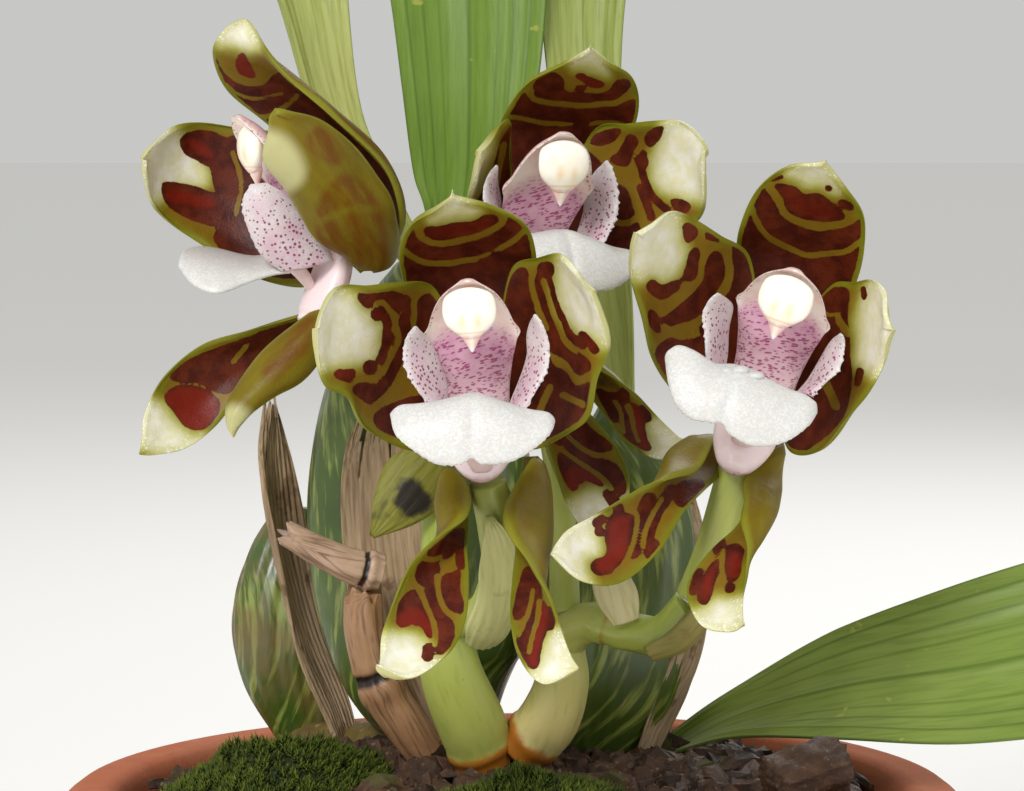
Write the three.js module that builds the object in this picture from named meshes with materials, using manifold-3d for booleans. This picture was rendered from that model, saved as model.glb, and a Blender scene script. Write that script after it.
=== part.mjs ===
// A potted batemannia orchid: a clay pot of bark and moss, three four-angled pseudobulbs on a
// creeping rhizome, their strap leaves and dry sheaths, and two short flower spikes that carry
// four flowers between them. Millimetres, +Z up, origin under the middle of the pot's base,
// with the flowers on the -Y side.
import * as THREE from "three";
import { mergeVertices } from "three/addons/utils/BufferGeometryUtils.js";
import Module from "manifold-3d";

const wasm = await Module();
wasm.setup();

// Driving dimensions.
const POT_HEIGHT = 80;
const POT_TOP_RADIUS = 56;
const POT_BASE_RADIUS = 39;
const POT_WALL = 4;
const RIM_HEIGHT = 18;
const RIM_PROUD = 3.5;
const DRAIN_RADIUS = 4;
const DRAIN_CIRCLE = 22;
const DRAIN_COUNT = 5;
const MEDIUM_RIM_LEVEL = 77;
const CROWN_LEVEL = 84;
const PETAL_THICKNESS = 1.1;
const LIP_THICKNESS = 1.1;
const LEAF_THICKNESS = 1.0;
const SHEATH_THICKNESS = 0.8;
const BRACT_THICKNESS = 0.9;
const SEAT_GAP = 0.3;

// How much thinner a sheet is at its edge than in its middle, and the narrowest that a sheet's
// or a stem's end gets.
const EDGE_THINNING = 0.45;
const NARROWEST_SHEET = 0.35;
const NARROWEST_STEM = 0.3;
// Corners closer than this are one corner, and faces flatter than FLATNESS are made one face.
const SAME_CORNER = 1e-4;
const FLATNESS = 0.01;

// Facets of each kind of piece: cells along and across a sheet, or sides and cells of a stem.
const TEPAL_CELLS = [7, 4];
const LIP_CLAW_CELLS = [4, 4];
const LIP_MIDLOBE_CELLS = [5, 6];
const LIP_SIDELOBE_CELLS = [4, 2];
const BRACT_CELLS = [6, 4];
const LEAF_CELLS = [14, 4];
const SHEATH_CELLS = [8, 4];
const ANTHER_CELLS = [8, 6];
const COLUMN_CELLS = [10, 9];
const OVARY_CELLS = [10, 8];
const BULB_CELLS = [16, 10];
const POT_SEGMENTS = 36;

// Materials, one for each kind of tissue or stuff.
const finish = (color, roughness) => new THREE.MeshStandardMaterial({ color, roughness, metalness: 0 });
const clay = finish("#b5653f", 0.9);
const bark = finish("#4a3527", 0.95);
const moss = finish("#51661f", 1.0);
const bulbGreen = finish("#4f6b2a", 0.4);
const leafGreen = finish("#6f8f3a", 0.45);
const stemGreen = finish("#9fae45", 0.45);
const drySheath = finish("#a98a6a", 0.8);
const barredTepal = finish("#5a2512", 0.35);
const lipWhite = finish("#f0ece8", 0.5);
const columnPink = finish("#c98aa0", 0.4);
const antherCream = finish("#f7e2ba", 0.4);

// Smooth curve through evenly spaced stations: a uniform Catmull-Rom spline on each of their
// numbers, whose end stations are continued in a straight line.
function along(stations, t) {
  const last = stations.length - 1;
  const place = Math.min(Math.max(t, 0), 1) * last;
  const i = Math.min(Math.floor(place), last - 1);
  const f = place - i;
  const p1 = stations[i];
  const p2 = stations[i + 1];
  const p0 = stations[i - 1] ?? p1.map((v, k) => 2 * v - p2[k]);
  const p3 = stations[i + 2] ?? p2.map((v, k) => 2 * v - p1[k]);
  return p1.map((b, k) => {
    const a = p0[k];
    const c = p2[k];
    const d = p3[k];
    const bend = 2 * a - 5 * b + 4 * c - d;
    const twist = 3 * b - a - 3 * c + d;
    return 0.5 * (2 * b + (c - a) * f + bend * f ** 2 + twist * f ** 3);
  });
}

// Unit direction of the stations' path at t.
function heading(stations, t) {
  const step = 1e-3;
  const ahead = along(stations, Math.min(t + step, 1));
  const behind = along(stations, Math.max(t - step, 0));
  return new THREE.Vector3(ahead[0] - behind[0], ahead[1] - behind[1], ahead[2] - behind[2]).normalize();
}

// Closed geometry from a list of points and of triangles.
function closedGeometry(points, triangles) {
  const geometry = new THREE.BufferGeometry();
  const corners = points.flatMap((p) => [p.x, p.y, p.z]);
  geometry.setAttribute("position", new THREE.Float32BufferAttribute(corners, 3));
  geometry.setIndex(triangles.flat());
  return geometry;
}

// A leaf-like sheet. Each station is [x, y, z, half width, facing x, facing y, facing z, curl]:
// the sheet's middle line passes through x, y, z, its inner side faces the facing vector, and
// across it bends through curl degrees towards that side. grow moves every face outwards.
function blade(stations, thickness, [lengthCells, widthCells], grow = 0) {
  const inner = [];
  const outer = [];
  for (let i = 0; i <= lengthCells; i++) {
    const t = i / lengthCells;
    const [x, y, z, halfWidth, fx, fy, fz, curl] = along(stations, t);
    const tangent = heading(stations, t);
    const side = new THREE.Vector3().crossVectors(tangent, new THREE.Vector3(fx, fy, fz)).normalize();
    const normal = new THREE.Vector3().crossVectors(side, tangent);
    const middle = new THREE.Vector3(x, y, z);
    if (i === 0) middle.addScaledVector(tangent, -grow);
    if (i === lengthCells) middle.addScaledVector(tangent, grow);
    const half = Math.max(halfWidth, NARROWEST_SHEET) + grow;
    const bend = THREE.MathUtils.degToRad(Math.abs(curl) < 1 ? 1 : curl) / 2;
    const radius = half / bend;
    for (let j = 0; j <= widthCells; j++) {
      const v = (2 * j) / widthCells - 1;
      const angle = v * bend;
      const point = middle
        .clone()
        .addScaledVector(side, radius * Math.sin(angle))
        .addScaledVector(normal, radius * (1 - Math.cos(angle)));
      const out = normal.clone().multiplyScalar(Math.cos(angle)).addScaledVector(side, -Math.sin(angle));
      const depth = (thickness / 2) * (1 - EDGE_THINNING * v * v) + grow;
      inner.push(point.clone().addScaledVector(out, depth));
      outer.push(point.clone().addScaledVector(out, -depth));
    }
  }
  return sheetBetween(inner, outer, lengthCells, widthCells);
}

// The solid between two grids of points, closed round its rim.
function sheetBetween(inner, outer, rows, columns) {
  const shift = inner.length;
  const at = (i, j) => i * (columns + 1) + j;
  const triangles = [];
  const quad = (a, b, c, d) => triangles.push([a, b, c], [a, c, d]);
  for (let i = 0; i < rows; i++)
    for (let j = 0; j < columns; j++) {
      quad(at(i, j), at(i, j + 1), at(i + 1, j + 1), at(i + 1, j));
      quad(shift + at(i, j), shift + at(i + 1, j), shift + at(i + 1, j + 1), shift + at(i, j + 1));
    }
  for (let i = 0; i < rows; i++) {
    quad(at(i, 0), at(i + 1, 0), shift + at(i + 1, 0), shift + at(i, 0));
    quad(at(i, columns), shift + at(i, columns), shift + at(i + 1, columns), at(i + 1, columns));
  }
  for (let j = 0; j < columns; j++) {
    quad(at(0, j), shift + at(0, j), shift + at(0, j + 1), at(0, j + 1));
    quad(at(rows, j), at(rows, j + 1), shift + at(rows, j + 1), shift + at(rows, j));
  }
  return closedGeometry([...inner, ...outer], triangles);
}

// A stem-like solid. Each station is [x, y, z, half width, half depth]; section gives the share
// of the radius at each angle round it, and side is the direction that the half width lies in.
const roundSection = () => 1;
const alongX = new THREE.Vector3(1, 0, 0);
function stalk(stations, [sides, lengthCells], grow = 0, section = roundSection, side = alongX) {
  const points = [];
  for (let i = 0; i <= lengthCells; i++) {
    const t = i / lengthCells;
    const [x, y, z, halfWidth, halfDepth] = along(stations, t);
    const tangent = heading(stations, t);
    const deep = new THREE.Vector3().crossVectors(tangent, side).normalize();
    const wide = new THREE.Vector3().crossVectors(deep, tangent);
    const middle = new THREE.Vector3(x, y, z);
    if (i === 0) middle.addScaledVector(tangent, -grow);
    if (i === lengthCells) middle.addScaledVector(tangent, grow);
    for (let j = 0; j < sides; j++) {
      const angle = (j / sides) * 2 * Math.PI;
      const share = section(angle);
      points.push(
        middle
          .clone()
          .addScaledVector(wide, (Math.max(halfWidth, NARROWEST_STEM) * share + grow) * Math.cos(angle))
          .addScaledVector(deep, (Math.max(halfDepth, NARROWEST_STEM) * share + grow) * Math.sin(angle)),
      );
    }
  }
  const triangles = [];
  const at = (i, j) => i * sides + (j % sides);
  for (let i = 0; i < lengthCells; i++)
    for (let j = 0; j < sides; j++) {
      triangles.push([at(i, j), at(i, j + 1), at(i + 1, j + 1)], [at(i, j), at(i + 1, j + 1), at(i + 1, j)]);
    }
  for (let j = 1; j < sides - 1; j++) {
    triangles.push([at(0, 0), at(0, j + 1), at(0, j)]);
    triangles.push([at(lengthCells, 0), at(lengthCells, j), at(lengthCells, j + 1)]);
  }
  return closedGeometry(points, triangles);
}

// The same solid on the other side of the flower's middle plane.
function mirrored(geometry) {
  const made = geometry.clone().scale(-1, 1, 1);
  const index = made.getIndex();
  for (let i = 0; i < index.count; i += 3) {
    const first = index.getX(i);
    index.setX(i, index.getX(i + 1));
    index.setX(i + 1, first);
  }
  return made;
}

// Solid of a closed geometry, turned right way out if it was inside out.
function solidOf(geometry) {
  const bare = geometry.clone();
  bare.deleteAttribute("normal");
  bare.deleteAttribute("uv");
  const merged = mergeVertices(bare, SAME_CORNER);
  const vertProperties = new Float32Array(merged.getAttribute("position").array);
  const triVerts = new Uint32Array(merged.getIndex().array);
  const build = () => new wasm.Manifold(new wasm.Mesh({ numProp: 3, vertProperties, triVerts }));
  const made = build();
  if (made.volume() > 0) return made;
  for (let i = 0; i < triVerts.length; i += 3) {
    [triVerts[i], triVerts[i + 1]] = [triVerts[i + 1], triVerts[i]];
  }
  return build();
}

// Geometry of a solid.
function geometryOf(solid) {
  const { vertProperties, triVerts, numProp } = solid.getMesh();
  const count = vertProperties.length / numProp;
  const position = new Float32Array(count * 3);
  for (let i = 0; i < count; i++) position.set(vertProperties.subarray(i * numProp, i * numProp + 3), i * 3);
  const geometry = new THREE.BufferGeometry();
  geometry.setAttribute("position", new THREE.BufferAttribute(position, 3));
  geometry.setIndex(new THREE.BufferAttribute(triVerts, 1));
  return geometry;
}

// Closed geometries that overlap, made one.
function joined(...geometries) {
  const solids = geometries.map(solidOf);
  return geometryOf(solids.reduce((whole, part) => whole.add(part)));
}
const boxesMeet = (a, b) => [0, 1, 2].every((k) => a.min[k] <= b.max[k] && b.min[k] <= a.max[k]);

// Adds a piece to the orchid. shape(grow) gives its closed geometry in the holder's frame. Where
// it would run into a piece that was added before it, it is cut back to SEAT_GAP from that piece,
// as tissue that grows against its neighbour is.
const orchid = new THREE.Group();
const placed = [];
function add(name, material, shape, holder = orchid) {
  holder.updateWorldMatrix(true, false);
  const inWorld = (grow) => solidOf(shape(grow).applyMatrix4(holder.matrixWorld));
  let solid = inWorld(0);
  const box = solid.boundingBox();
  for (const earlier of placed) if (boxesMeet(box, earlier.box)) solid = solid.subtract(earlier.grown);
  const largest = solid.decompose().sort((a, b) => b.volume() - a.volume())[0];
  const grown = inWorld(SEAT_GAP);
  placed.push({ grown, box: grown.boundingBox() });
  const mesh = new THREE.Mesh(geometryOf(largest.simplify(FLATNESS)), material);
  mesh.geometry.applyMatrix4(holder.matrixWorld.clone().invert());
  mesh.name = name;
  holder.add(mesh);
}

// Flower
//
// The flower's own frame has its origin where the tepals meet, x to the viewer's right, -y
// towards the viewer and z up. The left-hand piece of each pair is given; the right is mirrored.
const DORSAL_SEPAL = [
  [0, 2.6, 0.6, 2.4, 0, -1, 0, 50],
  [0, 3.0, 7.5, 6.4, 0, -1, -0.1, 70],
  [0, -0.6, 13.6, 9.2, 0, -1, -0.5, 75],
  [0, -6.6, 18.8, 9.4, 0, -0.8, -0.7, 70],
  [0, -11.8, 23.0, 6.0, 0, -0.7, -0.8, 50],
  [0, -15.2, 27.0, 0.4, 0, -0.6, -0.8, 20],
];
const PETAL = [
  [-2.9, 0.4, -1.2, 2.4, 0.7, -0.7, 0, 30],
  [-6.6, -2.6, 1.8, 7.2, 0.7, -0.7, 0, 45],
  [-11.0, -6.8, 4.8, 9.6, 0.7, -0.7, 0, 50],
  [-14.8, -11.6, 7.2, 8.4, 0.7, -0.7, 0, 40],
  [-17.4, -15.6, 9.6, 6.0, 0.6, -0.8, 0.1, 20],
  [-18.0, -17.6, 13.0, 0.6, 0.5, -0.9, 0.1, 10],
];
const LATERAL_SEPAL = [
  [-2.6, -3.0, -8.0, 2.2, 0.9, 0.2, 0.2, 130],
  [-3.6, -6.5, -12.5, 4.0, 0.9, 0.3, 0, 160],
  [-4.6, -10.5, -17.5, 5.2, 0.8, -0.4, 0, 140],
  [-7.0, -15.0, -22.5, 5.6, 0.35, -1, 0.1, 80],
  [-10.0, -19.0, -27.0, 4.8, 0.2, -1, 0.1, 50],
  [-13.2, -22.0, -30.4, 0.5, 0, -1, 0.1, 20],
];
// The column rises from its foot, under the lip, to the hood over the anther.
const COLUMN = [
  [0, -5.4, -9.6, 2.6, 1.0],
  [0, -3.0, -7.0, 3.6, 1.9],
  [0, -2.6, -1.8, 3.9, 2.4],
  [0, -6.0, 3.0, 4.4, 2.6],
  [0, -10.0, 7.8, 5.3, 2.4],
  [0, -13.6, 12.4, 4.6, 1.8],
  [0, -16.6, 16.2, 0.8, 0.8],
];
const ANTHER_CAP = [
  [0, -16.4, 14.2, 1.6, 0.8],
  [0, -16.6, 12.4, 3.0, 1.5],
  [0, -15.8, 10.4, 2.9, 1.5],
  [0, -14.8, 8.4, 1.3, 0.9],
  [0, -14.2, 6.6, 0.3, 0.3],
];
const LIP_CLAW = [
  [0, -7.2, -9.0, 2.4, 0, 0.8, 0.6, 40],
  [0, -9.4, -6.0, 3.6, 0, 0.8, 0.6, 60],
  [0, -12.4, -3.2, 4.4, 0, 0.6, 0.8, 60],
  [0, -16.0, -1.2, 4.8, 0, 0.3, 0.9, 30],
];
const LIP_MIDLOBE = [
  [0, -15.6, -1.2, 5.0, 0, 0.2, 1, 20],
  [0, -18.6, 0.2, 9.6, 0, -0.5, 1, -30],
  [0, -20.6, -1.4, 10.2, 0, -1, 0.3, -40],
  [0, -20.8, -4.0, 8.4, 0, -1, 0, -40],
  [0, -20.0, -6.8, 4.2, 0, -1, -0.2, -30],
];
const LIP_SIDELOBE = [
  [-3.4, -10.4, -4.2, 2.2, 0.4, -1, 0.1, 30],
  [-4.8, -12.0, 0.4, 2.4, 0.4, -1, 0.3, 30],
  [-6.4, -14.0, 5.2, 2.4, 0.4, -1, 0.3, 30],
  [-7.8, -16.0, 10.0, 1.2, 0.3, -1, 0.3, 20],
];

// Moves a tepal's stations: swing turns it about the flower's z axis, lift about its y axis and
// nod about its x axis, in degrees, all about its own base.
function posed(stations, { swing = 0, lift = 0, nod = 0, stretch = 1 } = {}, about = stations[0]) {
  const base = new THREE.Vector3(...about);
  const turn = new THREE.Matrix4().makeRotationFromEuler(
    new THREE.Euler(...[nod, lift, swing].map((angle) => THREE.MathUtils.degToRad(angle)), "ZYX"),
  );
  return stations.map(([x, y, z, halfWidth, fx, fy, fz, curl]) => {
    const point = new THREE.Vector3(x, y, z).sub(base).multiplyScalar(stretch).applyMatrix4(turn).add(base);
    const facing = new THREE.Vector3(fx, fy, fz).applyMatrix4(turn);
    return [...point.toArray(), halfWidth * stretch, ...facing.toArray(), curl];
  });
}

// Each flower: where its tepals meet, which way it faces (yaw to the viewer's right, pitch up),
// its roll clockwise, and how its own tepals depart from the common shape.
const FLOWERS = {
  front: {
    at: [-4.2, -33, 134.2],
    yaw: 0,
    roll: -4,
    size: 0.97,
    petalLeft: { swing: 5 },
    petalRight: { swing: 12 },
    sepalLeft: { lift: 2 },
    sepalRight: { lift: -8, swing: 4 },
  },
  right: {
    at: [31.7, -24, 136.4],
    yaw: -8,
    roll: 18,
    size: 1,
    dorsal: { nod: -3 },
    petalLeft: { swing: 4, lift: 6 },
    petalRight: { swing: 19 },
    sepalLeft: { lift: 14, stretch: 0.95 },
    sepalRight: { lift: -14, stretch: 0.82 },
  },
  upper: {
    at: [0.2, -6, 150],
    yaw: 22,
    roll: 0,
    size: 1.03,
    dorsal: { lift: 8 },
    petalLeft: { swing: 18 },
    petalRight: { swing: 5, lift: 10 },
    sepalLeft: { lift: -30 },
    sepalRight: { nod: -10, lift: 3, stretch: 0.95 },
    lip: { nod: -12 },
  },
  left: {
    at: [-20.5, -8, 152],
    yaw: -65,
    roll: 0,
    size: 1,
    petalLeft: { lift: 4 },
    sepalLeft: { nod: -6, stretch: 0.94 },
    sepalRight: { nod: -14, lift: -8, stretch: 0.82 },
  },
};

function flowerFrame({ at, yaw, roll, size }) {
  const frame = new THREE.Group();
  frame.position.set(...at);
  frame.rotation.set(...[0, roll, yaw].map((angle) => THREE.MathUtils.degToRad(angle)), "ZXY");
  frame.scale.setScalar(size);
  orchid.add(frame);
  return frame;
}

function addFlower(name, flower) {
  const frame = flowerFrame(flower);
  const tepal = (stations) => (grow) => blade(stations, PETAL_THICKNESS, TEPAL_CELLS, grow);
  const other = (shape) => (grow) => mirrored(shape(grow));
  add(`${name}_anther_cap`, antherCream, (grow) => stalk(ANTHER_CAP, ANTHER_CELLS, grow), frame);
  add(`${name}_column`, columnPink, (grow) => stalk(COLUMN, COLUMN_CELLS, grow), frame);
  const lipPart = (stations) => posed(stations, flower.lip, LIP_CLAW[0]);
  const sideLobe = (grow) => blade(lipPart(LIP_SIDELOBE), LIP_THICKNESS, LIP_SIDELOBE_CELLS, grow);
  const lip = (grow) =>
    joined(
      blade(lipPart(LIP_CLAW), LIP_THICKNESS, LIP_CLAW_CELLS, grow),
      blade(lipPart(LIP_MIDLOBE), LIP_THICKNESS, LIP_MIDLOBE_CELLS, grow),
      sideLobe(grow),
      mirrored(sideLobe(grow)),
    );
  add(`${name}_lip`, lipWhite, lip, frame);
  add(`${name}_sepal_left`, barredTepal, tepal(posed(LATERAL_SEPAL, flower.sepalLeft)), frame);
  add(`${name}_sepal_right`, barredTepal, other(tepal(posed(LATERAL_SEPAL, flower.sepalRight))), frame);
  add(`${name}_petal_left`, barredTepal, tepal(posed(PETAL, flower.petalLeft)), frame);
  add(`${name}_petal_right`, barredTepal, other(tepal(posed(PETAL, flower.petalRight))), frame);
  add(`${name}_sepal_dorsal`, barredTepal, tepal(posed(DORSAL_SEPAL, flower.dorsal)), frame);
}

for (const [name, flower] of Object.entries(FLOWERS)) addFlower(name, flower);

// Flower spikes and bracts
//
// Both spikes rise from the newest growth's foot. Each stalk station is a point with the half
// width and half depth there; each flower's stalk, with its ovary, ends under that flower.
const OVARIES = {
  front: [
    [-6.2, -16.2, 104.2, 2.0, 2.0],
    [-3.0, -21.6, 107.2, 2.3, 2.3],
    [-1.4, -28.0, 112.6, 2.4, 2.4],
    [-1.7, -32.8, 118.6, 2.5, 2.5],
    [-3.0, -34.6, 124.4, 2.2, 2.2],
  ],
  right: [
    [23.0, -20.4, 108.2, 2.3, 2.3],
    [24.4, -21.4, 112.0, 2.2, 2.2],
    [26.4, -22.6, 118.0, 2.3, 2.3],
    [28.6, -25.0, 126.6, 2.3, 2.3],
  ],
  upper: [
    [6.8, -11.8, 104.8, 2.0, 2.0],
    [6.6, -9.8, 112.6, 1.8, 1.8],
    [6.0, -7.8, 122.0, 1.7, 1.7],
    [4.4, -7.2, 131.0, 1.8, 1.8],
    [1.0, -7.4, 140.0, 2.0, 2.0],
  ],
  left: [
    [-10.4, -8.2, 125.0, 2.0, 2.0],
    [-12.6, -7.6, 130.0, 2.1, 2.1],
    [-16.6, -7.8, 135.8, 2.2, 2.2],
    [-21.4, -8.6, 142.2, 2.1, 2.1],
  ],
};
for (const [name, stations] of Object.entries(OVARIES))
  add(`${name}_ovary`, stemGreen, (grow) => stalk(stations, OVARY_CELLS, grow));

const LEFT_SPIKE = [
  [-3.6, -6.4, 85.0, 4.2, 4.0],
  [-5.6, -9.6, 91.0, 4.4, 4.2],
  [-7.8, -12.2, 97.5, 4.0, 3.8],
  [-8.8, -13.0, 104.5, 3.4, 3.3],
  [-8.9, -11.6, 113.0, 2.8, 2.7],
  [-9.7, -8.8, 123.8, 2.3, 2.3],
];
const RIGHT_SPIKE = [
  [1.2, -6.6, 86.4, 3.6, 3.8],
  [4.4, -8.4, 90.0, 4.0, 3.9],
  [6.4, -9.8, 95.6, 3.5, 3.4],
  [6.6, -11.4, 101.4, 3.0, 2.9],
  [10.2, -13.8, 104.0, 2.7, 2.6],
  [15.2, -16.2, 103.0, 2.5, 2.5],
  [19.4, -18.2, 103.2, 2.5, 2.5],
  [22.6, -20.0, 107.0, 2.4, 2.4],
];
add("spike_left", stemGreen, (grow) => stalk(LEFT_SPIKE, [12, 10], grow));
add("spike_right", stemGreen, (grow) => stalk(RIGHT_SPIKE, [12, 14], grow));

const BRACTS = {
  bract_front: [
    [-4.2, -18.6, 101.4, 2.2, 0, 0.5, 0.85, 100],
    [-2.8, -24.4, 103.9, 3.3, 0, 0.6, 0.8, 120],
    [-1.4, -31.2, 110.0, 3.2, 0, 0.8, 0.6, 110],
    [-1.7, -35.8, 116.4, 2.2, 0, 0.9, 0.4, 90],
    [-2.8, -37.8, 120.6, 0.4, 0, 0.9, 0.3, 40],
  ],
  bract_left: [
    [-9.6, -13.2, 125.6, 2.6, 0.3, 1, 0.2, 60],
    [-12.2, -14.4, 122.4, 4.6, 0.3, 1, 0.3, 60],
    [-15.0, -15.2, 118.8, 3.4, 0.3, 1, 0.3, 50],
    [-17.8, -15.6, 115.2, 0.4, 0.3, 1, 0.3, 30],
  ],
  bract_upper: [
    [14.4, -19.4, 104.6, 1.8, 0, 1, 0, 100],
    [13.4, -19.4, 107.8, 3.0, 0, 1, 0, 110],
    [12.4, -18.8, 111.0, 2.4, 0, 1, 0, 90],
    [12.0, -17.8, 113.6, 0.5, 0, 1, 0, 50],
  ],
  bract_right: [
    [17.6, -21.4, 100.4, 2.4, -0.4, 0.5, 0.8, 150],
    [22.0, -23.0, 102.4, 3.4, -0.7, 0.5, 0.4, 170],
    [25.4, -24.0, 107.4, 3.0, -0.8, 0.4, 0.2, 150],
    [26.8, -24.4, 112.6, 0.5, -0.8, 0.4, 0, 90],
  ],
};
for (const [name, stations] of Object.entries(BRACTS))
  add(name, stemGreen, (grow) => blade(stations, BRACT_THICKNESS, BRACT_CELLS, grow));

// Rhizome and pseudobulbs
const RHIZOME_MAIN = [
  [-29, 31, 80.0, 4.6, 3.6],
  [-19, 23, 80.6, 5.6, 4.0],
  [-9, 12, 81.0, 6.4, 4.4],
  [-3, 2, 81.4, 5.6, 4.2],
  [-1.6, -6.4, 83.4, 4.2, 3.6],
];
const RHIZOME_BRANCH = [
  [-5, 6, 80.8, 4.6, 3.6],
  [4, 7, 80.8, 4.4, 3.6],
  [12, 9, 81.0, 4.0, 3.4],
];
const rhizome = (grow) => joined(stalk(RHIZOME_MAIN, [10, 8], grow), stalk(RHIZOME_BRANCH, [10, 4], grow));
add("rhizome", bulbGreen, rhizome);

// A pseudobulb is four-angled: its section bulges at four soft corners.
const CORNER_BULGE = 0.07;
const fourAngled = (angle) => 1 + CORNER_BULGE * Math.cos(4 * (angle - Math.PI / 4));
const BULBS = {
  bulb_front: [
    [-9, 14, 85.4, 7.5, 6.5],
    [-11, 16, 93, 13, 9.5],
    [-12, 17, 105, 16, 11],
    [-12.4, 18, 118, 16.2, 11],
    [-12, 18.5, 131, 14, 10],
    [-11, 19, 142, 9.4, 7.4],
    [-10, 19.5, 149.4, 4.2, 4.0],
  ],
  bulb_right: [
    [12, 9, 84.8, 5.6, 5.0],
    [13.2, 9.4, 92, 9.4, 7.6],
    [14.2, 10.2, 102, 10.8, 8.6],
    [14.8, 11, 113, 10.4, 8.0],
    [14.8, 12, 122, 7.6, 6.0],
    [14.6, 13, 129.4, 3.2, 3.0],
  ],
  bulb_back: [
    [-29, 32, 84.0, 5.4, 5.0],
    [-30, 33, 90, 8.4, 7.4],
    [-30.5, 34, 98, 9.0, 8.0],
    [-30, 35, 106.5, 7.2, 6.4],
    [-29.5, 35.5, 113, 3.8, 3.6],
  ],
};
for (const [name, stations] of Object.entries(BULBS))
  add(name, bulbGreen, (grow) => stalk(stations, BULB_CELLS, grow, fourAngled));

// Leaves, each from its bulb's neck to its tip
const LEAVES = {
  leaf_broad: [
    [-9.4, 19.5, 150.2, 3.0, 0, -1, 0, 140],
    [-6.4, 20, 158, 7.0, 0, -1, 0, 50],
    [-5.8, 21, 172, 9.4, 0, -1, 0, 34],
    [-6.2, 24, 190, 11.6, 0, -1, 0, 30],
    [-8, 30, 214, 15, 0, -1, 0.2, 30],
    [-11, 40, 243, 17, 0, -1, 0.3, 30],
    [-15, 55, 273, 13, 0, -1, 0.5, 30],
    [-20, 74, 301, 0.5, 0, -1, 0.8, 20],
  ],
  leaf_left: [
    [-13.6, 20.5, 149.0, 2.6, 0.3, -1, 0, 150],
    [-18.6, 22, 157, 3.4, 0.3, -1, 0, 120],
    [-24, 23, 168, 4.0, 0.3, -1, 0, 110],
    [-27.6, 25, 184, 5.6, 0.3, -1, 0, 90],
    [-32, 31, 205, 9, 0.3, -1, 0.1, 60],
    [-39, 44, 231, 13.5, 0.3, -1, 0.3, 40],
    [-47, 61, 257, 12, 0.3, -1, 0.5, 30],
    [-56, 82, 280, 0.5, 0.3, -1, 0.7, 20],
  ],
  leaf_right: [
    [14.5, 13.4, 130.2, 2.6, 0, -1, 0, 150],
    [13.4, 17, 141, 3.6, 0, -1, 0, 120],
    [11.4, 21, 156, 4.8, 0, -1, 0, 100],
    [9.8, 24, 174, 5.6, 0, -1, 0, 80],
    [10.2, 27, 193, 7.4, 0, -1, 0, 60],
    [14, 34, 217, 11.5, 0, -1, 0.2, 40],
    [22, 46, 244, 13, 0, -1, 0.4, 34],
    [34, 63, 270, 0.5, 0, -1, 0.6, 20],
  ],
  leaf_low: [
    [20, 17, 80.6, 2.4, 0, -0.6, 1, 120],
    [30, 11, 87.0, 5.0, 0, -0.7, 1, 60],
    [44, 5, 92.0, 9.5, 0, -0.9, 1, 40],
    [60, -1, 95.6, 13, 0, -1, 0.9, 30],
    [78, -6, 100, 14.6, 0, -1, 0.9, 30],
    [97, -9, 103, 12.5, 0, -1, 0.9, 30],
    [114, -10, 103, 7.5, 0, -1, 0.9, 25],
    [127, -10, 101, 0.5, 0, -1, 0.9, 20],
  ],
};
for (const [name, stations] of Object.entries(LEAVES))
  add(name, leafGreen, (grow) => blade(stations, LEAF_THICKNESS, LEAF_CELLS, grow));

// Dry sheaths round the bulbs, and last season's dead flower stalk
const SHEATHS = {
  sheath_front: [
    [-8.5, 4.6, 87, 4.5, 0.1, 1, 0, 40],
    [-13.0, 4.6, 98, 7.4, 0.1, 1, 0, 40],
    [-15.6, 5.2, 110, 7.6, 0.15, 1, 0, 38],
    [-16.4, 6.0, 122, 6.4, 0.15, 1, 0, 34],
    [-16.4, 7.6, 133, 2.2, 0.15, 1, -0.1, 20],
  ],
  sheath_left: [
    [-24.0, 22, 86, 3.0, 1, -0.6, 0, 60],
    [-28.6, 23, 97, 4.4, 1, -0.6, 0, 60],
    [-31.6, 24, 109, 4.6, 1, -0.6, 0, 60],
    [-32.8, 24.5, 121, 3.6, 1, -0.6, 0, 50],
    [-33.0, 25, 131, 0.5, 1, -0.6, 0, 30],
  ],
  sheath_right: [
    [20.0, 6.6, 87, 4.0, -1, 0.4, 0, 70],
    [24.4, 8.0, 95, 6.0, -1, 0.3, 0, 90],
    [26.0, 9.4, 104, 6.4, -1, 0.2, 0, 90],
    [25.2, 10.6, 113, 5.0, -1, 0.2, 0, 80],
    [23.2, 11.6, 120, 1.2, -1, 0.2, 0, 40],
  ],
};
for (const [name, stations] of Object.entries(SHEATHS))
  add(name, drySheath, (grow) => blade(stations, SHEATH_THICKNESS, SHEATH_CELLS, grow));

const OLD_STALK = [
  [-11.5, -1.0, 85.0, 2.6, 2.6],
  [-14.2, -2.4, 89.0, 2.8, 2.8],
  [-17.6, -3.2, 94.8, 2.8, 2.8],
  [-19.2, -3.6, 101.0, 2.6, 2.6],
  [-19.4, -3.8, 106.4, 2.4, 2.4],
];
const DRY_STUB = [
  [-17.2, -4.2, 109.2, 2.4, 2.4],
  [-21.0, -5.2, 110.2, 2.2, 2.2],
  [-25.0, -6.0, 112.2, 1.9, 1.9],
  [-29.0, -6.6, 114.4, 1.6, 1.6],
];
add("old_stalk", drySheath, (grow) => stalk(OLD_STALK, [10, 6], grow));
const stubSide = new THREE.Vector3(0, 1, 0);
add("old_stalk_stub", drySheath, (grow) => stalk(DRY_STUB, [8, 5], grow, roundSection, stubSide));

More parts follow.
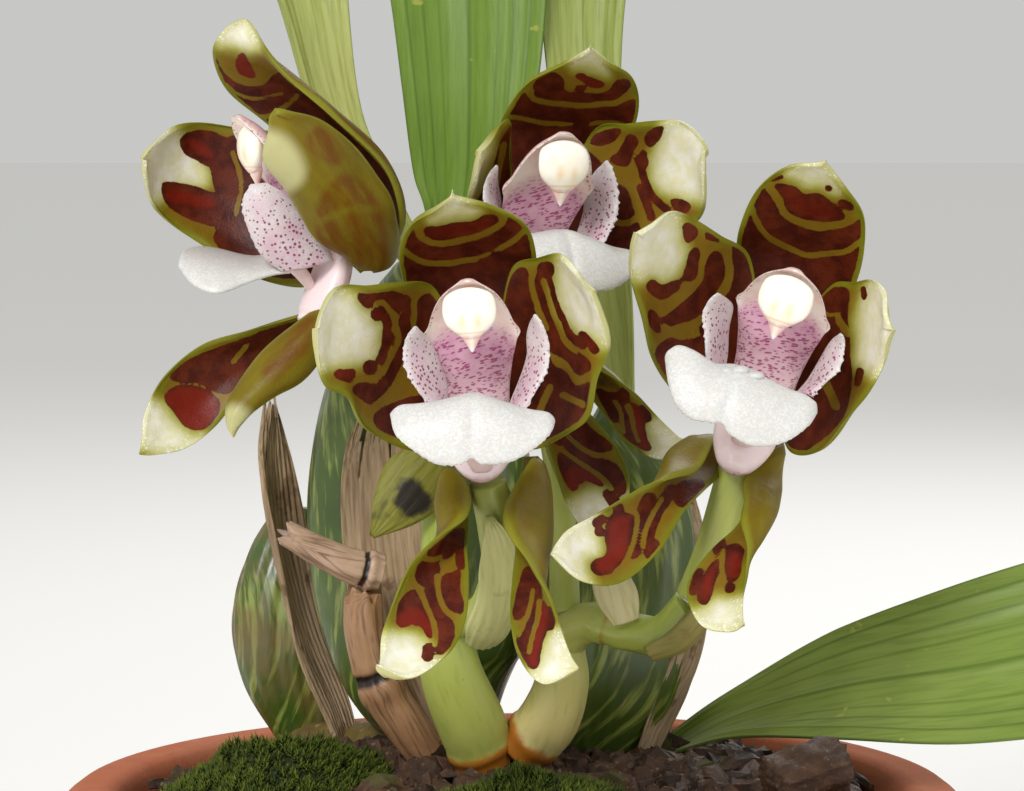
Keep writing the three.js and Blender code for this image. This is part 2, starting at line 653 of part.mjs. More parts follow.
// Pot
//
// A thrown clay pot: tapered wall, thick turned rim and a ring of drain holes round a solid centre.
function turned(profile) {
  const outline = profile.map(([r, z]) => new THREE.Vector2(r, z));
  const geometry = new THREE.LatheGeometry(outline, POT_SEGMENTS);
  return geometry.rotateX(Math.PI / 2);
}
const POT_FLOOR = 6;
const wallRadius = (z) => POT_BASE_RADIUS + ((POT_TOP_RADIUS - POT_BASE_RADIUS) * z) / POT_HEIGHT;
const innerRadius = (z) => wallRadius(z) - POT_WALL;
const POT_PROFILE = [
  [0, 0],
  [POT_BASE_RADIUS, 0],
  [wallRadius(POT_HEIGHT - RIM_HEIGHT), POT_HEIGHT - RIM_HEIGHT],
  [wallRadius(POT_HEIGHT - RIM_HEIGHT) + RIM_PROUD, POT_HEIGHT - RIM_HEIGHT + 1],
  [POT_TOP_RADIUS + RIM_PROUD, POT_HEIGHT - 1.5],
  [POT_TOP_RADIUS + RIM_PROUD - 1.5, POT_HEIGHT],
  [innerRadius(POT_HEIGHT) + 1, POT_HEIGHT],
  [innerRadius(POT_HEIGHT - 1), POT_HEIGHT - 1],
  [innerRadius(POT_FLOOR), POT_FLOOR],
  [0, POT_FLOOR],
];
function pot() {
  const drill = new THREE.CylinderGeometry(DRAIN_RADIUS, DRAIN_RADIUS, POT_FLOOR * 3, 16);
  drill.rotateX(Math.PI / 2);
  let solid = solidOf(turned(POT_PROFILE));
  for (let i = 0; i < DRAIN_COUNT; i++) {
    const angle = (i / DRAIN_COUNT) * 2 * Math.PI;
    const hole = drill.clone().translate(DRAIN_CIRCLE * Math.cos(angle), DRAIN_CIRCLE * Math.sin(angle), 0);
    solid = solid.subtract(solidOf(hole));
  }
  return geometryOf(solid);
}
const potMesh = new THREE.Mesh(pot(), clay);
potMesh.name = "pot";
orchid.add(potMesh);

// Bark and moss
//
// Height of the bark's surface over the pot at x, y.
function barkLevel(x, y) {
  const r = Math.hypot(x, y);
  const crown = CROWN_LEVEL - (CROWN_LEVEL - MEDIUM_RIM_LEVEL) * (r / innerRadius(POT_HEIGHT)) ** 3;
  return crown + 0.9 * Math.sin(0.33 * x + 1) * Math.cos(0.29 * y) + 0.6 * Math.sin(0.61 * x + 0.47 * y);
}

// A lumpy cushion of moss sitting half in the bark.
function cushion(x, y, rx, ry, height, grow) {
  const geometry = new THREE.SphereGeometry(1, 14, 8);
  const position = geometry.getAttribute("position");
  for (let i = 0; i < position.count; i++) {
    const [a, b, c] = [position.getX(i), position.getY(i), position.getZ(i)];
    const lump = 1 + 0.1 * Math.sin(5 * a + 2) * Math.cos(4 * b) + 0.06 * Math.sin(7 * c + 3 * a);
    position.setXYZ(i, a * lump, b * lump, c * lump);
  }
  geometry.rotateX(Math.PI / 2).scale(rx + grow, ry + grow, height + grow);
  return geometry.translate(x, y, barkLevel(x, y));
}
add("moss_left", moss, (grow) => cushion(-31, -8, 15, 13, 5.4, grow));
add("moss_front", moss, (grow) => cushion(3, -28, 13, 10, 3.6, grow));
const CHIP_SIZE = [10, 6.5, 5.5];
const CHIP_TURN = 0.5;
const CHIP_PLACE = [38, -14, 84.4];
function barkChip(grow) {
  const sides = CHIP_SIZE.map((side) => side + 2 * grow);
  return new THREE.BoxGeometry(...sides).rotateZ(CHIP_TURN).rotateX(CHIP_TURN).translate(...CHIP_PLACE);
}
add("bark_chip", bark, barkChip);

// The bark that fills the pot, clear of its wall and floor.
const WALL_CLEARANCE = SEAT_GAP + 0.2;
function barkFill() {
  const rings = 8;
  const sectors = 30;
  const top = [];
  for (let i = 1; i <= rings; i++)
    for (let j = 0; j < sectors; j++) {
      const angle = (j / sectors) * 2 * Math.PI;
      const r = (i / rings) * (innerRadius(MEDIUM_RIM_LEVEL) - WALL_CLEARANCE);
      const [x, y] = [r * Math.cos(angle), r * Math.sin(angle)];
      top.push(new THREE.Vector3(x, y, i === rings ? MEDIUM_RIM_LEVEL : barkLevel(x, y)));
    }
  const floor = POT_FLOOR + SEAT_GAP;
  const foot = [];
  for (let j = 0; j < sectors; j++) {
    const angle = (j / sectors) * 2 * Math.PI;
    const r = innerRadius(floor) - WALL_CLEARANCE;
    foot.push(new THREE.Vector3(r * Math.cos(angle), r * Math.sin(angle), floor));
  }
  const points = [...top, ...foot, new THREE.Vector3(0, 0, barkLevel(0, 0)), new THREE.Vector3(0, 0, floor)];
  const crown = points.length - 2;
  const triangles = [];
  for (let j = 0; j < sectors; j++) {
    const next = (j + 1) % sectors;
    triangles.push([crown, j, next]);
    for (let i = 0; i < rings; i++) {
      const [a, b] = [i * sectors + j, i * sectors + next];
      triangles.push([a, a + sectors, b + sectors], [a, b + sectors, b]);
    }
    triangles.push([crown + 1, rings * sectors + next, rings * sectors + j]);
  }
  return closedGeometry(points, triangles);
}
add("bark_fill", bark, barkFill);

export default orchid;
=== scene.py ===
import math
import bpy
import mathutils
import numpy as np
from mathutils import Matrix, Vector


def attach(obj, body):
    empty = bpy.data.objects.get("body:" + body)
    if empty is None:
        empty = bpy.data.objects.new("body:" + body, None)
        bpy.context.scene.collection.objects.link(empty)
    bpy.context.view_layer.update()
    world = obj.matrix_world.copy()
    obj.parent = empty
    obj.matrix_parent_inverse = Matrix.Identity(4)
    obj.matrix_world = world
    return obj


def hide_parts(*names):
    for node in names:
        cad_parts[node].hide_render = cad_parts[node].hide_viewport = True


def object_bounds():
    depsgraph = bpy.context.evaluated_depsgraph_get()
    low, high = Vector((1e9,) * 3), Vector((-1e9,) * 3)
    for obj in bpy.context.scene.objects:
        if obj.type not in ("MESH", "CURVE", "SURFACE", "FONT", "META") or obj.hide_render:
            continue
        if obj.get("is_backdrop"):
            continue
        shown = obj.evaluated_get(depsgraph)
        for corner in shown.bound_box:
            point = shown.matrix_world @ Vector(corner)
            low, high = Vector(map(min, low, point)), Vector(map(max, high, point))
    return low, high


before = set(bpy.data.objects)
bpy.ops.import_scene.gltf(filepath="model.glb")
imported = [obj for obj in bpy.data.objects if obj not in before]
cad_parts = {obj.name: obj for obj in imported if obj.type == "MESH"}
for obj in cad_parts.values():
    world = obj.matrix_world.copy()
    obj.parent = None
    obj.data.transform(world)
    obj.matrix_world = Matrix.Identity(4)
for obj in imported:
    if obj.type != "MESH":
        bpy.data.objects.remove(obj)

cad_low, cad_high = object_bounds()

# Pot
# A plain flower pot of unglazed red clay, thrown on a wheel and fired once: thick rim, straight
# tapering wall with faint turning rings, and five drain holes pushed through the base.
POT_HEIGHT = 80.0
POT_WALL = 4.0
POT_FLOOR = 6.0
POT_SIDES = 112
RIM_FOOT = 62.0
HOLE_RADIUS = 4.0
HOLE_SIDES = 24
TURNING_RINGS = ((0.07, 2.9, 0), (0.05, 1.13, 1))  # height in mm, radians for each mm up, start
OUT_OF_ROUND = 0.12


def paint(code):
    """An sRGB colour code in linear light: each channel c is ((c + .055) / 1.055) to the power 2.4."""
    c = np.array([int(code[k:k + 2], 16) for k in (1, 3, 5)]) / 255
    return (*np.where(c <= 0.04045, c / 12.92, ((c + 0.055) / 1.055) ** 2.4).tolist(), 1.0)


def new_material(name, **inputs):
    """A node material with one Principled shader, its constants set on the shader's own inputs."""
    material = bpy.data.materials.new(name)
    material.use_nodes = True
    shader = material.node_tree.nodes["Principled BSDF"]
    for key, value in inputs.items():
        shader.inputs[key.replace("_", " ")].default_value = value
    return material, shader


# Where a node's values go in turn, the output that is read, and its usual settings.
KINDS = {
    "Mix": ((0, 6, 7), 2, {"data_type": "RGBA"}),
    "MapRange": ((0, 1, 2, 3, 4), 0, {"interpolation_type": "SMOOTHSTEP"}),
    "Math": ((0, 1), 0, {"operation": "MULTIPLY"}),
    "TexCoord": ((), "Object", {}),
    "Attribute": ((), "Fac", {}),
    "TexNoise": (("Vector", "Scale", "Detail", "Roughness"), 0, {}),
    "TexVoronoi": (("Vector", "Scale", "Randomness"), 0, {}),
    "Bump": (("Height", "Distance", "Strength", "Normal"), 0, {}),
}


def node(material, kind, *values, out=None, **settings):
    """Adds one shader node with its settings. Its values go to its inputs in turn: a number, a colour, a
    socket to link, or in quotes a colour code or the name of a value that the mesh carries. Gives the output
    that is read."""
    inputs, usual_out, usual_settings = KINDS.get(kind, (range(len(values)), 0, {}))
    made = material.node_tree.nodes.new("ShaderNode" + kind)
    for key, value in {**usual_settings, **settings}.items():
        setattr(made, key, value)
    for key, value in zip(inputs, values):
        if isinstance(value, str):
            value = paint(value) if value[0] == "#" else node(material, "Attribute", attribute_name=value)
        if isinstance(value, bpy.types.NodeSocket):
            material.node_tree.links.new(value, made.inputs[key])
        else:
            made.inputs[key].default_value = value
    return made.outputs[usual_out if out is None else out]


def wire(material, shader, **inputs):
    """Links sockets to the shader's inputs."""
    for key, value in inputs.items():
        material.node_tree.links.new(value, shader.inputs[key.replace("_", " ")])


def grain(material, size, detail=2.0, band=None, where=None, roughness=0.55):
    """Lumps about size mm across in the piece's own coordinates, or in those given: noise from 0 to 1
    round 0.5, and with a band (low, high, start, end) a smooth step of it from start to end."""
    place = node(material, "TexCoord") if where is None else where
    lumps = node(material, "TexNoise", place, 1000 / size, detail, roughness)
    return lumps if band is None else node(material, "MapRange", lumps, *band)


def add_piece(name, points, faces, material, slot, fields=(), flat=False):
    """One piece from points in mm and faces of point numbers: it rides on the root body and stands for the
    CAD node of its name. The slot is not used. Fields are values at the points."""
    mesh = bpy.data.meshes.new(name)
    mesh.from_pydata((np.asarray(points, float) / 1000).tolist(), [], [list(f) for f in faces])
    for key, values in dict(fields).items():
        attribute = mesh.attributes.new(key, "FLOAT", "POINT")
        attribute.data.foreach_set("value", np.asarray(values, float).ravel())
    mesh.polygons.foreach_set("use_smooth", [not flat] * len(mesh.polygons))
    mesh.materials.append(material)
    mesh.update()
    piece = bpy.data.objects.new(name + "_piece", mesh)
    bpy.context.scene.collection.objects.link(piece)
    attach(piece, "root")
    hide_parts(name)


def grid_faces(rows, columns, wrap=False):
    """Quads of a grid of rows by columns points numbered row by row; a wrapped grid joins its last column
    to its first."""
    r, c = np.meshgrid(np.arange(rows - 1), np.arange(columns if wrap else columns - 1), indexing="ij")
    n = (c + 1) % columns
    corners = [r * columns + c, r * columns + n, (r + 1) * columns + n, (r + 1) * columns + c]
    return np.stack(corners, -1).reshape(-1, 4).tolist()


def turns_round(count):
    """The angles of count equal steps round a circle."""
    return np.arange(count) * 2 * math.pi / count


def circle(radius, angles):
    """Points on a circle about the origin: the radius times the cosine and the sine of each angle."""
    return np.stack([radius * np.cos(angles), radius * np.sin(angles)], -1)


def refined(corners, pitch):
    """Points about pitch apart along straight runs between the corners."""
    corners = np.asarray(corners, float)
    runs = []
    for a, b in zip(corners[:-1], corners[1:]):
        runs.append(np.linspace(a, b, max(2, int(np.linalg.norm(b - a) / pitch) + 1))[:-1])
    return np.vstack(runs + [corners[-1:]])


def pot_wall_at(height):
    """Outer radius of the wall: it goes from 39 at the foot to 56 at the top in a straight line."""
    return 39 + 17 * height / POT_HEIGHT


hole_centres = circle(22, turns_round(5))
rim_foot = pot_wall_at(RIM_FOOT)
inner_foot = pot_wall_at(POT_FLOOR) - POT_WALL
profile = refined([
    (38, 0), (39.3, 0.5), (39.8, 1.8), (pot_wall_at(61), 61), (rim_foot + 2.6, 62.6), (rim_foot + 3.5, 64),
    (59.2, 77), (58.9, 79), (57.6, POT_HEIGHT), (53.6, POT_HEIGHT), (52.2, 79.4), (51.8, 78),
    (inner_foot + 1.6, POT_FLOOR + 1.6), (inner_foot, POT_FLOOR)], 0.8)
up = profile[:, 1:]
rings = sum(high * np.sin(up * rate + start) for high, rate, start in TURNING_RINGS)
around = turns_round(POT_SIDES)
radius = profile[:, :1] + np.where((up > 2) & (up < 79), rings, 0)
radius = radius + OUT_OF_ROUND * np.sin(2 * around + 0.7) * (up / POT_HEIGHT) ** 2
wall = np.concatenate([circle(radius, around), np.repeat(up[:, None], POT_SIDES, 1)], -1).reshape(-1, 3)


def base_disc(rim_numbers, rim, height, first):
    """A flat disc with the drain holes left open: a Delaunay net over the rim, the hole edges and rings
    between them, less the triangles whose centre is in a hole. Gives its new points, its faces and the
    numbers of the hole edges' points."""
    edges = (hole_centres[:, None] + circle(HOLE_RADIUS, turns_round(HOLE_SIDES))).reshape(-1, 2)
    rings = [circle(r, turns_round(HOLE_SIDES) + 0.1) for r in (6, 12, 16, 29, 33)]
    inner = np.vstack([edges, circle(0.01, np.array([0.1])), *rings])
    xy = np.vstack([rim, inner])
    net = mathutils.geometry.delaunay_2d_cdt([mathutils.Vector(p) for p in xy], [], [], 0, 1e-7)
    triangles = np.array(net[2])
    away = np.linalg.norm(xy[triangles].mean(1)[:, None] - hole_centres, axis=-1)
    numbers = np.concatenate([rim_numbers, first + np.arange(len(inner))])
    faces = numbers[triangles[(away > HOLE_RADIUS - 0.15).all(1)]]
    holes = numbers[len(rim):len(rim) + len(edges)].reshape(-1, HOLE_SIDES)
    return np.column_stack([inner, np.full(len(inner), height)]), faces, holes


low_rim, high_rim = np.arange(POT_SIDES), len(wall) - POT_SIDES + np.arange(POT_SIDES)
under, under_faces, low = base_disc(low_rim, wall[low_rim, :2], 0.0, len(wall))
inside, inside_faces, high = base_disc(high_rim, wall[high_rim, :2], POT_FLOOR, len(wall) + len(under))
hole_walls = np.stack([low, high, np.roll(high, -1, 1), np.roll(low, -1, 1)], -1).reshape(-1, 4)
pot_faces = grid_faces(len(profile), POT_SIDES, wrap=True)
pot_faces += under_faces[:, ::-1].tolist() + inside_faces.tolist() + hole_walls.tolist()

# Fired clay: matt orange red, paler where lime has dried on it, with fine grit that breaks the light.
clay, shader = new_material("unglazed_red_clay", Roughness=0.86, Specular_IOR_Level=0.25)
bloom = grain(clay, 26, 4, (0.5, 0.75))
body = node(clay, "Mix", grain(clay, 5, 5), "#a8593a", "#bf7350")
body = node(clay, "Mix", node(clay, "Math", bloom, 0.35), body, "#cda68c")
body = node(clay, "Mix", grain(clay, 0.5, 2, (0.62, 0.72, 0, 0.5)), body, "#8a4128")
wire(clay, shader, Base_Color=body, Normal=node(clay, "Bump", grain(clay, 0.45, 3), 0.00012, 0.8))
add_piece("pot", np.vstack([wall, under, inside]), pot_faces, clay, "clay")

# Bark fill
# The potting mix: pieces of pine bark, broken and sieved, poured in loose round the roots. Under the
# pieces that show lies a solid core, so that nothing is seen through between them.
BARK_LIMIT = 51.0
CORE_SIDES = 96
CORE_DEPTH = 3.2
CORE_FOOT = POT_FLOOR + 0.4
# Each grade of bark: how many pieces, their sizes in mm, cuts of the net, and how deep they may lie.
GRADES = ((330, (4.2, 7.4), 3, 3.0), (430, (2.2, 4.2), 2, 1.6), (420, (0.9, 2.2), 2, 0.4))
rng = np.random.default_rng(11)


def bark_level(x, y):
    """Height of the bark's top: highest in the middle, lower by the cube of the radius, with small waves."""
    waves = 0.9 * np.sin(0.33 * x + 1) * np.cos(0.29 * y) + 0.6 * np.sin(0.61 * x + 0.47 * y)
    return 84 - 7 * (np.hypot(x, y) / 52) ** 3 + waves


def chunk_net(cuts):
    """Points and quads of a cube's surface from -1 to 1, each side cut into cuts by cuts, edges shared."""
    a, b = np.meshgrid(np.arange(cuts + 1), np.arange(cuts + 1), indexing="ij")
    points, quads = [], []
    for axis in range(3):
        for end in (0, cuts):
            side = np.zeros((cuts + 1, cuts + 1, 3), int)
            side[..., axis], side[..., (axis + 1) % 3], side[..., (axis + 2) % 3] = end, a, b
            n = np.arange((cuts + 1) ** 2).reshape(cuts + 1, cuts + 1) + len(points) * (cuts + 1) ** 2
            quad = np.stack([n[:-1, :-1], n[1:, :-1], n[1:, 1:], n[:-1, 1:]], -1).reshape(-1, 4)
            points.append(side.reshape(-1, 3))
            quads.append(quad if end else quad[:, ::-1])
    unique, back = np.unique(np.vstack(points), axis=0, return_inverse=True)
    return unique * 2 / cuts - 1, back.ravel()[np.vstack(quads)]


def turned(count):
    """Random turns: the matrix of a random unit quaternion, one for each."""
    w, x, y, z = rng.normal(size=(4, count))
    size = np.sqrt(w * w + x * x + y * y + z * z)
    w, x, y, z = w / size, x / size, y / size, z / size
    return np.stack([np.stack([1 - 2 * (y * y + z * z), 2 * (x * y - w * z), 2 * (x * z + w * y)], -1),
                     np.stack([2 * (x * y + w * z), 1 - 2 * (x * x + z * z), 2 * (y * z - w * x)], -1),
                     np.stack([2 * (x * z - w * y), 2 * (y * z + w * x), 1 - 2 * (x * x + y * y)], -1)], -2)


def scattered(count, sizes, cuts, drop):
    """Broken pieces over the bark's top: a cube net, pulled in at its corners, roughened and split,
    stretched to length, width and thickness, turned, and set drop mm below the level. Gives points, faces
    and a shade for each point."""
    net, quads = chunk_net(cuts)
    round_off = net / (np.linalg.norm(net, axis=1, keepdims=True) ** 0.45)
    swollen = 1 + rng.normal(0, 0.09, (count, len(net), 1))
    shape = round_off * swollen + rng.normal(0, 0.07, (count, len(net), 3))
    size = rng.uniform(*sizes, (count, 1))
    stretch = [rng.uniform(low, high, count) for low, high in ((0.8, 1.3), (0.5, 0.85), (0.28, 0.5))]
    size = size * np.stack(stretch, -1)
    shape = np.einsum("kij,kpj->kpi", turned(count), shape * size[:, None])
    place = np.sqrt(rng.uniform(0, 1, count)) * (BARK_LIMIT - size.max(1) * 1.02)
    angle = rng.uniform(0, 2 * math.pi, count)
    x, y = place * np.cos(angle), place * np.sin(angle)
    z = bark_level(x, y) - drop * rng.uniform(0.2, 1, count) - size.min(1)
    points = shape + np.stack([x, y, z], -1)[:, None]
    over = points[..., 2] - bark_level(points[..., 0], points[..., 1]) - 0.8
    points[..., 2] -= np.maximum(over, 0).max(1)[:, None] * 0.8
    faces = (quads[None] + (np.arange(count) * len(net))[:, None, None]).reshape(-1, 4)
    return points.reshape(-1, 3), faces, np.repeat(rng.uniform(0, 1, count), len(net))


def level_ring(reach, height):
    """A ring of the core at that reach from the middle and that height, or heights."""
    ring = circle(reach, turns_round(CORE_SIDES))
    return np.column_stack([ring, np.broadcast_to(height, len(ring))])


core = []
for reach in (0.01, 6, 12, 18, 24, 30, 36, 41, 45, 48, 50.2):
    x, y = circle(reach, turns_round(CORE_SIDES)).T
    core.append(level_ring(reach, bark_level(x, y) - CORE_DEPTH - (reach > 49)))
for height in (60, 30, CORE_FOOT):
    core.append(level_ring(min(50.6, pot_wall_at(height) - POT_WALL - 0.7), height))
core.append(level_ring(0.01, CORE_FOOT))
core_faces = np.array(grid_faces(len(core), CORE_SIDES, wrap=True))[:, ::-1]
parts = [(np.vstack(core), core_faces, np.zeros(len(core) * CORE_SIDES))]
parts += [scattered(*grade) for grade in GRADES]
starts = np.cumsum([0] + [len(p[0]) for p in parts])
points = np.vstack([p[0] for p in parts])
points[:, :2] /= np.maximum(np.hypot(points[:, 0], points[:, 1]) / BARK_LIMIT, 1)[:, None]

# Pine bark, damp: almost black brown with redder broken faces, lighter corky flecks and a dull wet shine.
bark, shader = new_material("damp_pine_bark", Specular_IOR_Level=0.45)
tint = node(bark, "Mix", "shade", "#22160f", "#4b3322")
tint = node(bark, "Mix", grain(bark, 3.2, 6, (0.42, 0.68), roughness=0.7), tint, "#5d3f29")
tint = node(bark, "Mix", grain(bark, 0.8, 3, (0.62, 0.7, 0, 0.7)), tint, "#8a6f55")
algae = node(bark, "Math", grain(bark, 12, 3), node(bark, "Math", "shade", 0.25), operation="ADD")
tint = node(bark, "Mix", node(bark, "MapRange", algae, 0.74, 0.84, 0, 0.55), tint, "#4d5a1c")
wire(bark, shader, Base_Color=tint, Roughness=grain(bark, 6, 2, (0.4, 0.65, 0.42, 0.85)),
     Normal=node(bark, "Bump", grain(bark, 1.1, 6, roughness=0.75), 0.0005, 0.9))
add_piece("bark_fill", points, np.vstack([p[1] + s for p, s in zip(parts, starts)]), bark, "bark",
          {"shade": np.concatenate([p[2] for p in parts])}, flat=True)

# One larger chip lies on top at the right, a flake split along its layers.
CHIP_HALF_SIZE = [5.6, 3.6, 2.9]
CHIP_PLACE = [38, -14, 84.4]
net, quads = chunk_net(12)
chip = net / (np.linalg.norm(net, axis=1, keepdims=True) ** 0.3)
nx, ny, nz = net[:, :1], net[:, 1:2], net[:, 2:3]
chip = chip * (1 + 0.05 * np.sin(7 * nx + 3 * ny) + 0.04 * np.sin(11 * ny - 5 * nz) + 0.03 * np.sin(17 * nz))
chip = chip * CHIP_HALF_SIZE * (1 + rng.normal(0, 0.015, (len(net), 1)))
c, s = math.cos(0.5), math.sin(0.5)
chip = chip @ np.array([[c, -s, 0], [s, c, 0], [0, 0, 1]]).T @ np.array([[1, 0, 0], [0, c, -s], [0, s, c]]).T
add_piece("bark_chip", chip + CHIP_PLACE, quads, bark, "bark", {"shade": np.full(len(net), 0.8)})

# Moss
# Two living moss cushions that have grown over the bark: a soft green mound covered with upright
# shoots, each a rosette of pointed leaflets, wetter and darker between them.
LEAFLETS = 9
LEAFLET_GIRTH = 0.17
MOUND_SIDES = 48


def moss_rise(x, y, far, height):
    """Height of a cushion over the bark: one minus the square of the distance, with lumps."""
    return height * (1 - far ** 2) * 0.86 * (1 + 0.18 * np.sin(0.9 * x) * np.sin(0.8 * y + 1))


def moss_cushion(name, centre, radii, height, count):
    """A mound and shoots on it; a shoot is a ring of leaflets, each a closed spike on three base points
    leaning out from the shoot's axis."""
    turns = turns_round(MOUND_SIDES)
    reach = np.array([0.01, 0.2, 0.4, 0.6, 0.75, 0.88, 0.97, 1.0, 0.9, 0.01])[:, None]
    down = np.arange(len(reach))[:, None] > 7
    x = centre[0] + radii[0] * reach * np.cos(turns) * (1 + 0.05 * np.sin(5 * turns))
    y = centre[1] + radii[1] * reach * np.sin(turns) * (1 + 0.05 * np.sin(4 * turns + 1))
    z = bark_level(x, y) - 1.2 + np.where(down, -1.2, moss_rise(x, y, reach, height))
    mound = np.stack([x, y, z], -1).reshape(-1, 3)
    faces = np.array(grid_faces(len(reach), MOUND_SIDES, wrap=True))[:, ::-1]
    far = np.sqrt(rng.uniform(0, 1, count)) * 0.98
    angle = rng.uniform(0, 2 * math.pi, count)
    x, y = centre[0] + radii[0] * far * np.cos(angle), centre[1] + radii[1] * far * np.sin(angle)
    foot = np.stack([x, y, bark_level(x, y) - 1.2 + moss_rise(x, y, far, height)], -1)
    lean = np.column_stack([circle(far * 0.5, angle), np.ones(count)]) + rng.normal(0, 0.22, (count, 3))
    lean /= np.linalg.norm(lean, axis=1, keepdims=True)
    length = rng.uniform(0.8, 1.7, count)[:, None, None]
    ring = rng.uniform(0, 2 * math.pi, (count, LEAFLETS)) * 0.25 + np.arange(LEAFLETS) * 2.4
    wide = np.stack([np.cos(ring), np.sin(ring), np.zeros_like(ring)], -1)
    spread = np.linspace(1.0, 0.25, LEAFLETS)[None, :, None]
    tip_way = lean[:, None] * (1 - 0.45 * spread) + wide * spread * 0.8
    base = foot[:, None] + lean[:, None] * (length * np.linspace(0, 0.75, LEAFLETS)[None, :, None])
    across = np.cross(tip_way, wide + [0, 0, 0.3])
    across /= np.linalg.norm(across, axis=-1, keepdims=True)
    under = np.cross(tip_way, across) * LEAFLET_GIRTH * 0.9
    across = across * LEAFLET_GIRTH
    spike = np.stack([base - across, base + across, base + under, base + tip_way * (length * 0.85)], 2)
    one = np.array([[0, 1, 3], [1, 2, 3], [2, 0, 3], [2, 1, 0]])
    spikes = (one + (np.arange(count * LEAFLETS) * 4)[:, None, None]).reshape(-1, 3) + len(mound)
    tone = np.repeat(rng.uniform(0, 1, count), LEAFLETS * 4)
    top = np.tile([0, 0, 0.1, 1.0], count * LEAFLETS)
    none = np.zeros(len(mound))
    add_piece(name, np.vstack([mound, spike.reshape(-1, 3)]), faces.tolist() + spikes.tolist(), moss, "moss",
              {"tone": np.concatenate([none, tone]), "tip": np.concatenate([none, top])})


# Moss: dark green at the foot, bright yellow green at the leaf tips, soft and without shine.
moss, shader = new_material("living_moss", Roughness=0.7, Specular_IOR_Level=0.3)
green = node(moss, "Mix", "tone", "#3d4f12", "#7c8a22")
wire(moss, shader, Base_Color=node(moss, "Mix", "tip", "#1d2a0a", green))
moss_cushion("moss_left", (-31, -8), (15, 13), 5.4, 1500)
moss_cushion("moss_front", (3, -28), (13, 10), 3.6, 1000)

# Rhizome
# The creeping stem that joins the bulbs: a thick woody runner on the bark, ringed by the scars of
# old sheath leaves, with one branch to the right-hand bulb. It carries the flower spikes.
# Stations of a stem: x, y, z, half width, and half depth where it differs.
MAIN_RUNNER = [(-29,31,80, 4.6,3.6), (-19,23,80.6, 5.6,4), (-9,12,81, 6.4,4.4), (-3,2,81.4, 5.6,4.2),
    (-1.6,-6.4,83.4, 4.2,3.6)]
SIDE_RUNNER = [(-5,6,80.8, 4.6,3.6), (4,7,80.8, 4.4,3.6), (12,9,81, 4,3.4)]


def along(stations, t):
    """A smooth curve through the stations at t from 0 to 1: between two of them the cubic through the four
    nearest, with equal steps, and its ends continued straight."""
    s = np.asarray(stations, float)
    last = len(s) - 1
    s = np.vstack([2 * s[0] - s[1], s, 2 * s[-1] - s[-2]])
    place = np.clip(t, 0, 1) * last
    i = np.minimum(place.astype(int), last - 1)
    f = (place - i)[:, None]
    a, b, c, d = s[i], s[i + 1], s[i + 2], s[i + 3]
    curve = (2 * a - 5 * b + 4 * c - d) * f ** 2 + (3 * b - a - 3 * c + d) * f ** 3
    return 0.5 * (2 * b + (c - a) * f + curve)


def unit(vectors):
    """The vectors at length one."""
    return vectors / np.maximum(np.linalg.norm(vectors, axis=-1, keepdims=True), 1e-9)


def ways_along(stations, t):
    """The direction of the curve at each t: the way from a thousandth before it to a thousandth after."""
    ahead, behind = along(stations, np.minimum(t + 1e-3, 1)), along(stations, np.maximum(t - 1e-3, 0))
    return unit(ahead[:, :3] - behind[:, :3])


def lengths(points):
    """Length along a line of points from its start to each of them."""
    return np.concatenate([[0], np.cumsum(np.linalg.norm(np.diff(points, axis=0), axis=-1))])


def stalk(stations, rows, columns, share=None, side=(1, 0, 0)):
    """A stem round the curve through the stations: each ring is an ellipse of that half width and half
    depth, times share(t, angle). Gives rings, t, angles and the length along in mm."""
    t, angle = np.linspace(0, 1, rows), turns_round(columns)
    s = along(stations, t)
    ways = ways_along(stations, t)
    deep = unit(np.cross(ways, side))
    wide = np.cross(deep, ways)
    factor = np.ones((rows, columns)) if share is None else share(t[:, None], angle[None])
    depth = s[:, 4] if s.shape[1] > 4 else s[:, 3]
    rings = s[:, None, :3] + wide[:, None] * (s[:, 3, None] * factor * np.cos(angle))[..., None]
    rings = rings + deep[:, None] * (depth[:, None] * factor * np.sin(angle))[..., None]
    return rings, t, angle, lengths(s[:, :3])


def closed_tube(rings):
    """Points and faces of a tube closed by a point at the middle of each end ring."""
    rows, columns = rings.shape[:2]
    points = np.vstack([rings.reshape(-1, 3), rings[0].mean(0), rings[-1].mean(0)])
    k, foot = np.arange(columns), np.full(columns, rows * columns)
    head_ring = (rows - 1) * columns + k
    foot_cap = np.stack([foot, np.roll(k, -1), k], 1)
    head_cap = np.stack([foot + 1, head_ring, np.roll(head_ring, -1)], 1)
    return points, grid_faces(rows, columns, wrap=True) + np.vstack([foot_cap, head_cap]).tolist()


def tube_fields(rings, t, angle, length, **more):
    """Values at a tube's points: along and around in mm, t, and any more that are given; the two end points
    repeat the first value of their ring."""
    girth = np.linalg.norm(np.roll(rings, -1, 1) - rings, axis=-1).sum(1)
    around = (1 - np.abs(angle / math.pi - 1)) * girth[:, None] / 2
    fields = {}
    for key, values in {"along": length[:, None], "around": around, "t": t[:, None], **more}.items():
        g = np.broadcast_to(values, rings.shape[:2])
        fields[key] = np.concatenate([g.ravel(), [g[0, 0]], [g[-1, 0]]])
    return fields


def joined(shells):
    """Several closed shells (points, faces, fields) as the shells of one piece."""
    starts = np.cumsum([0] + [len(s[0]) for s in shells])
    faces = [[k + int(start) for k in face] for s, start in zip(shells, starts) for face in s[1]]
    fields = {key: np.concatenate([s[2][key] for s in shells]) for key in shells[0][2]}
    return np.vstack([s[0] for s in shells]), faces, fields


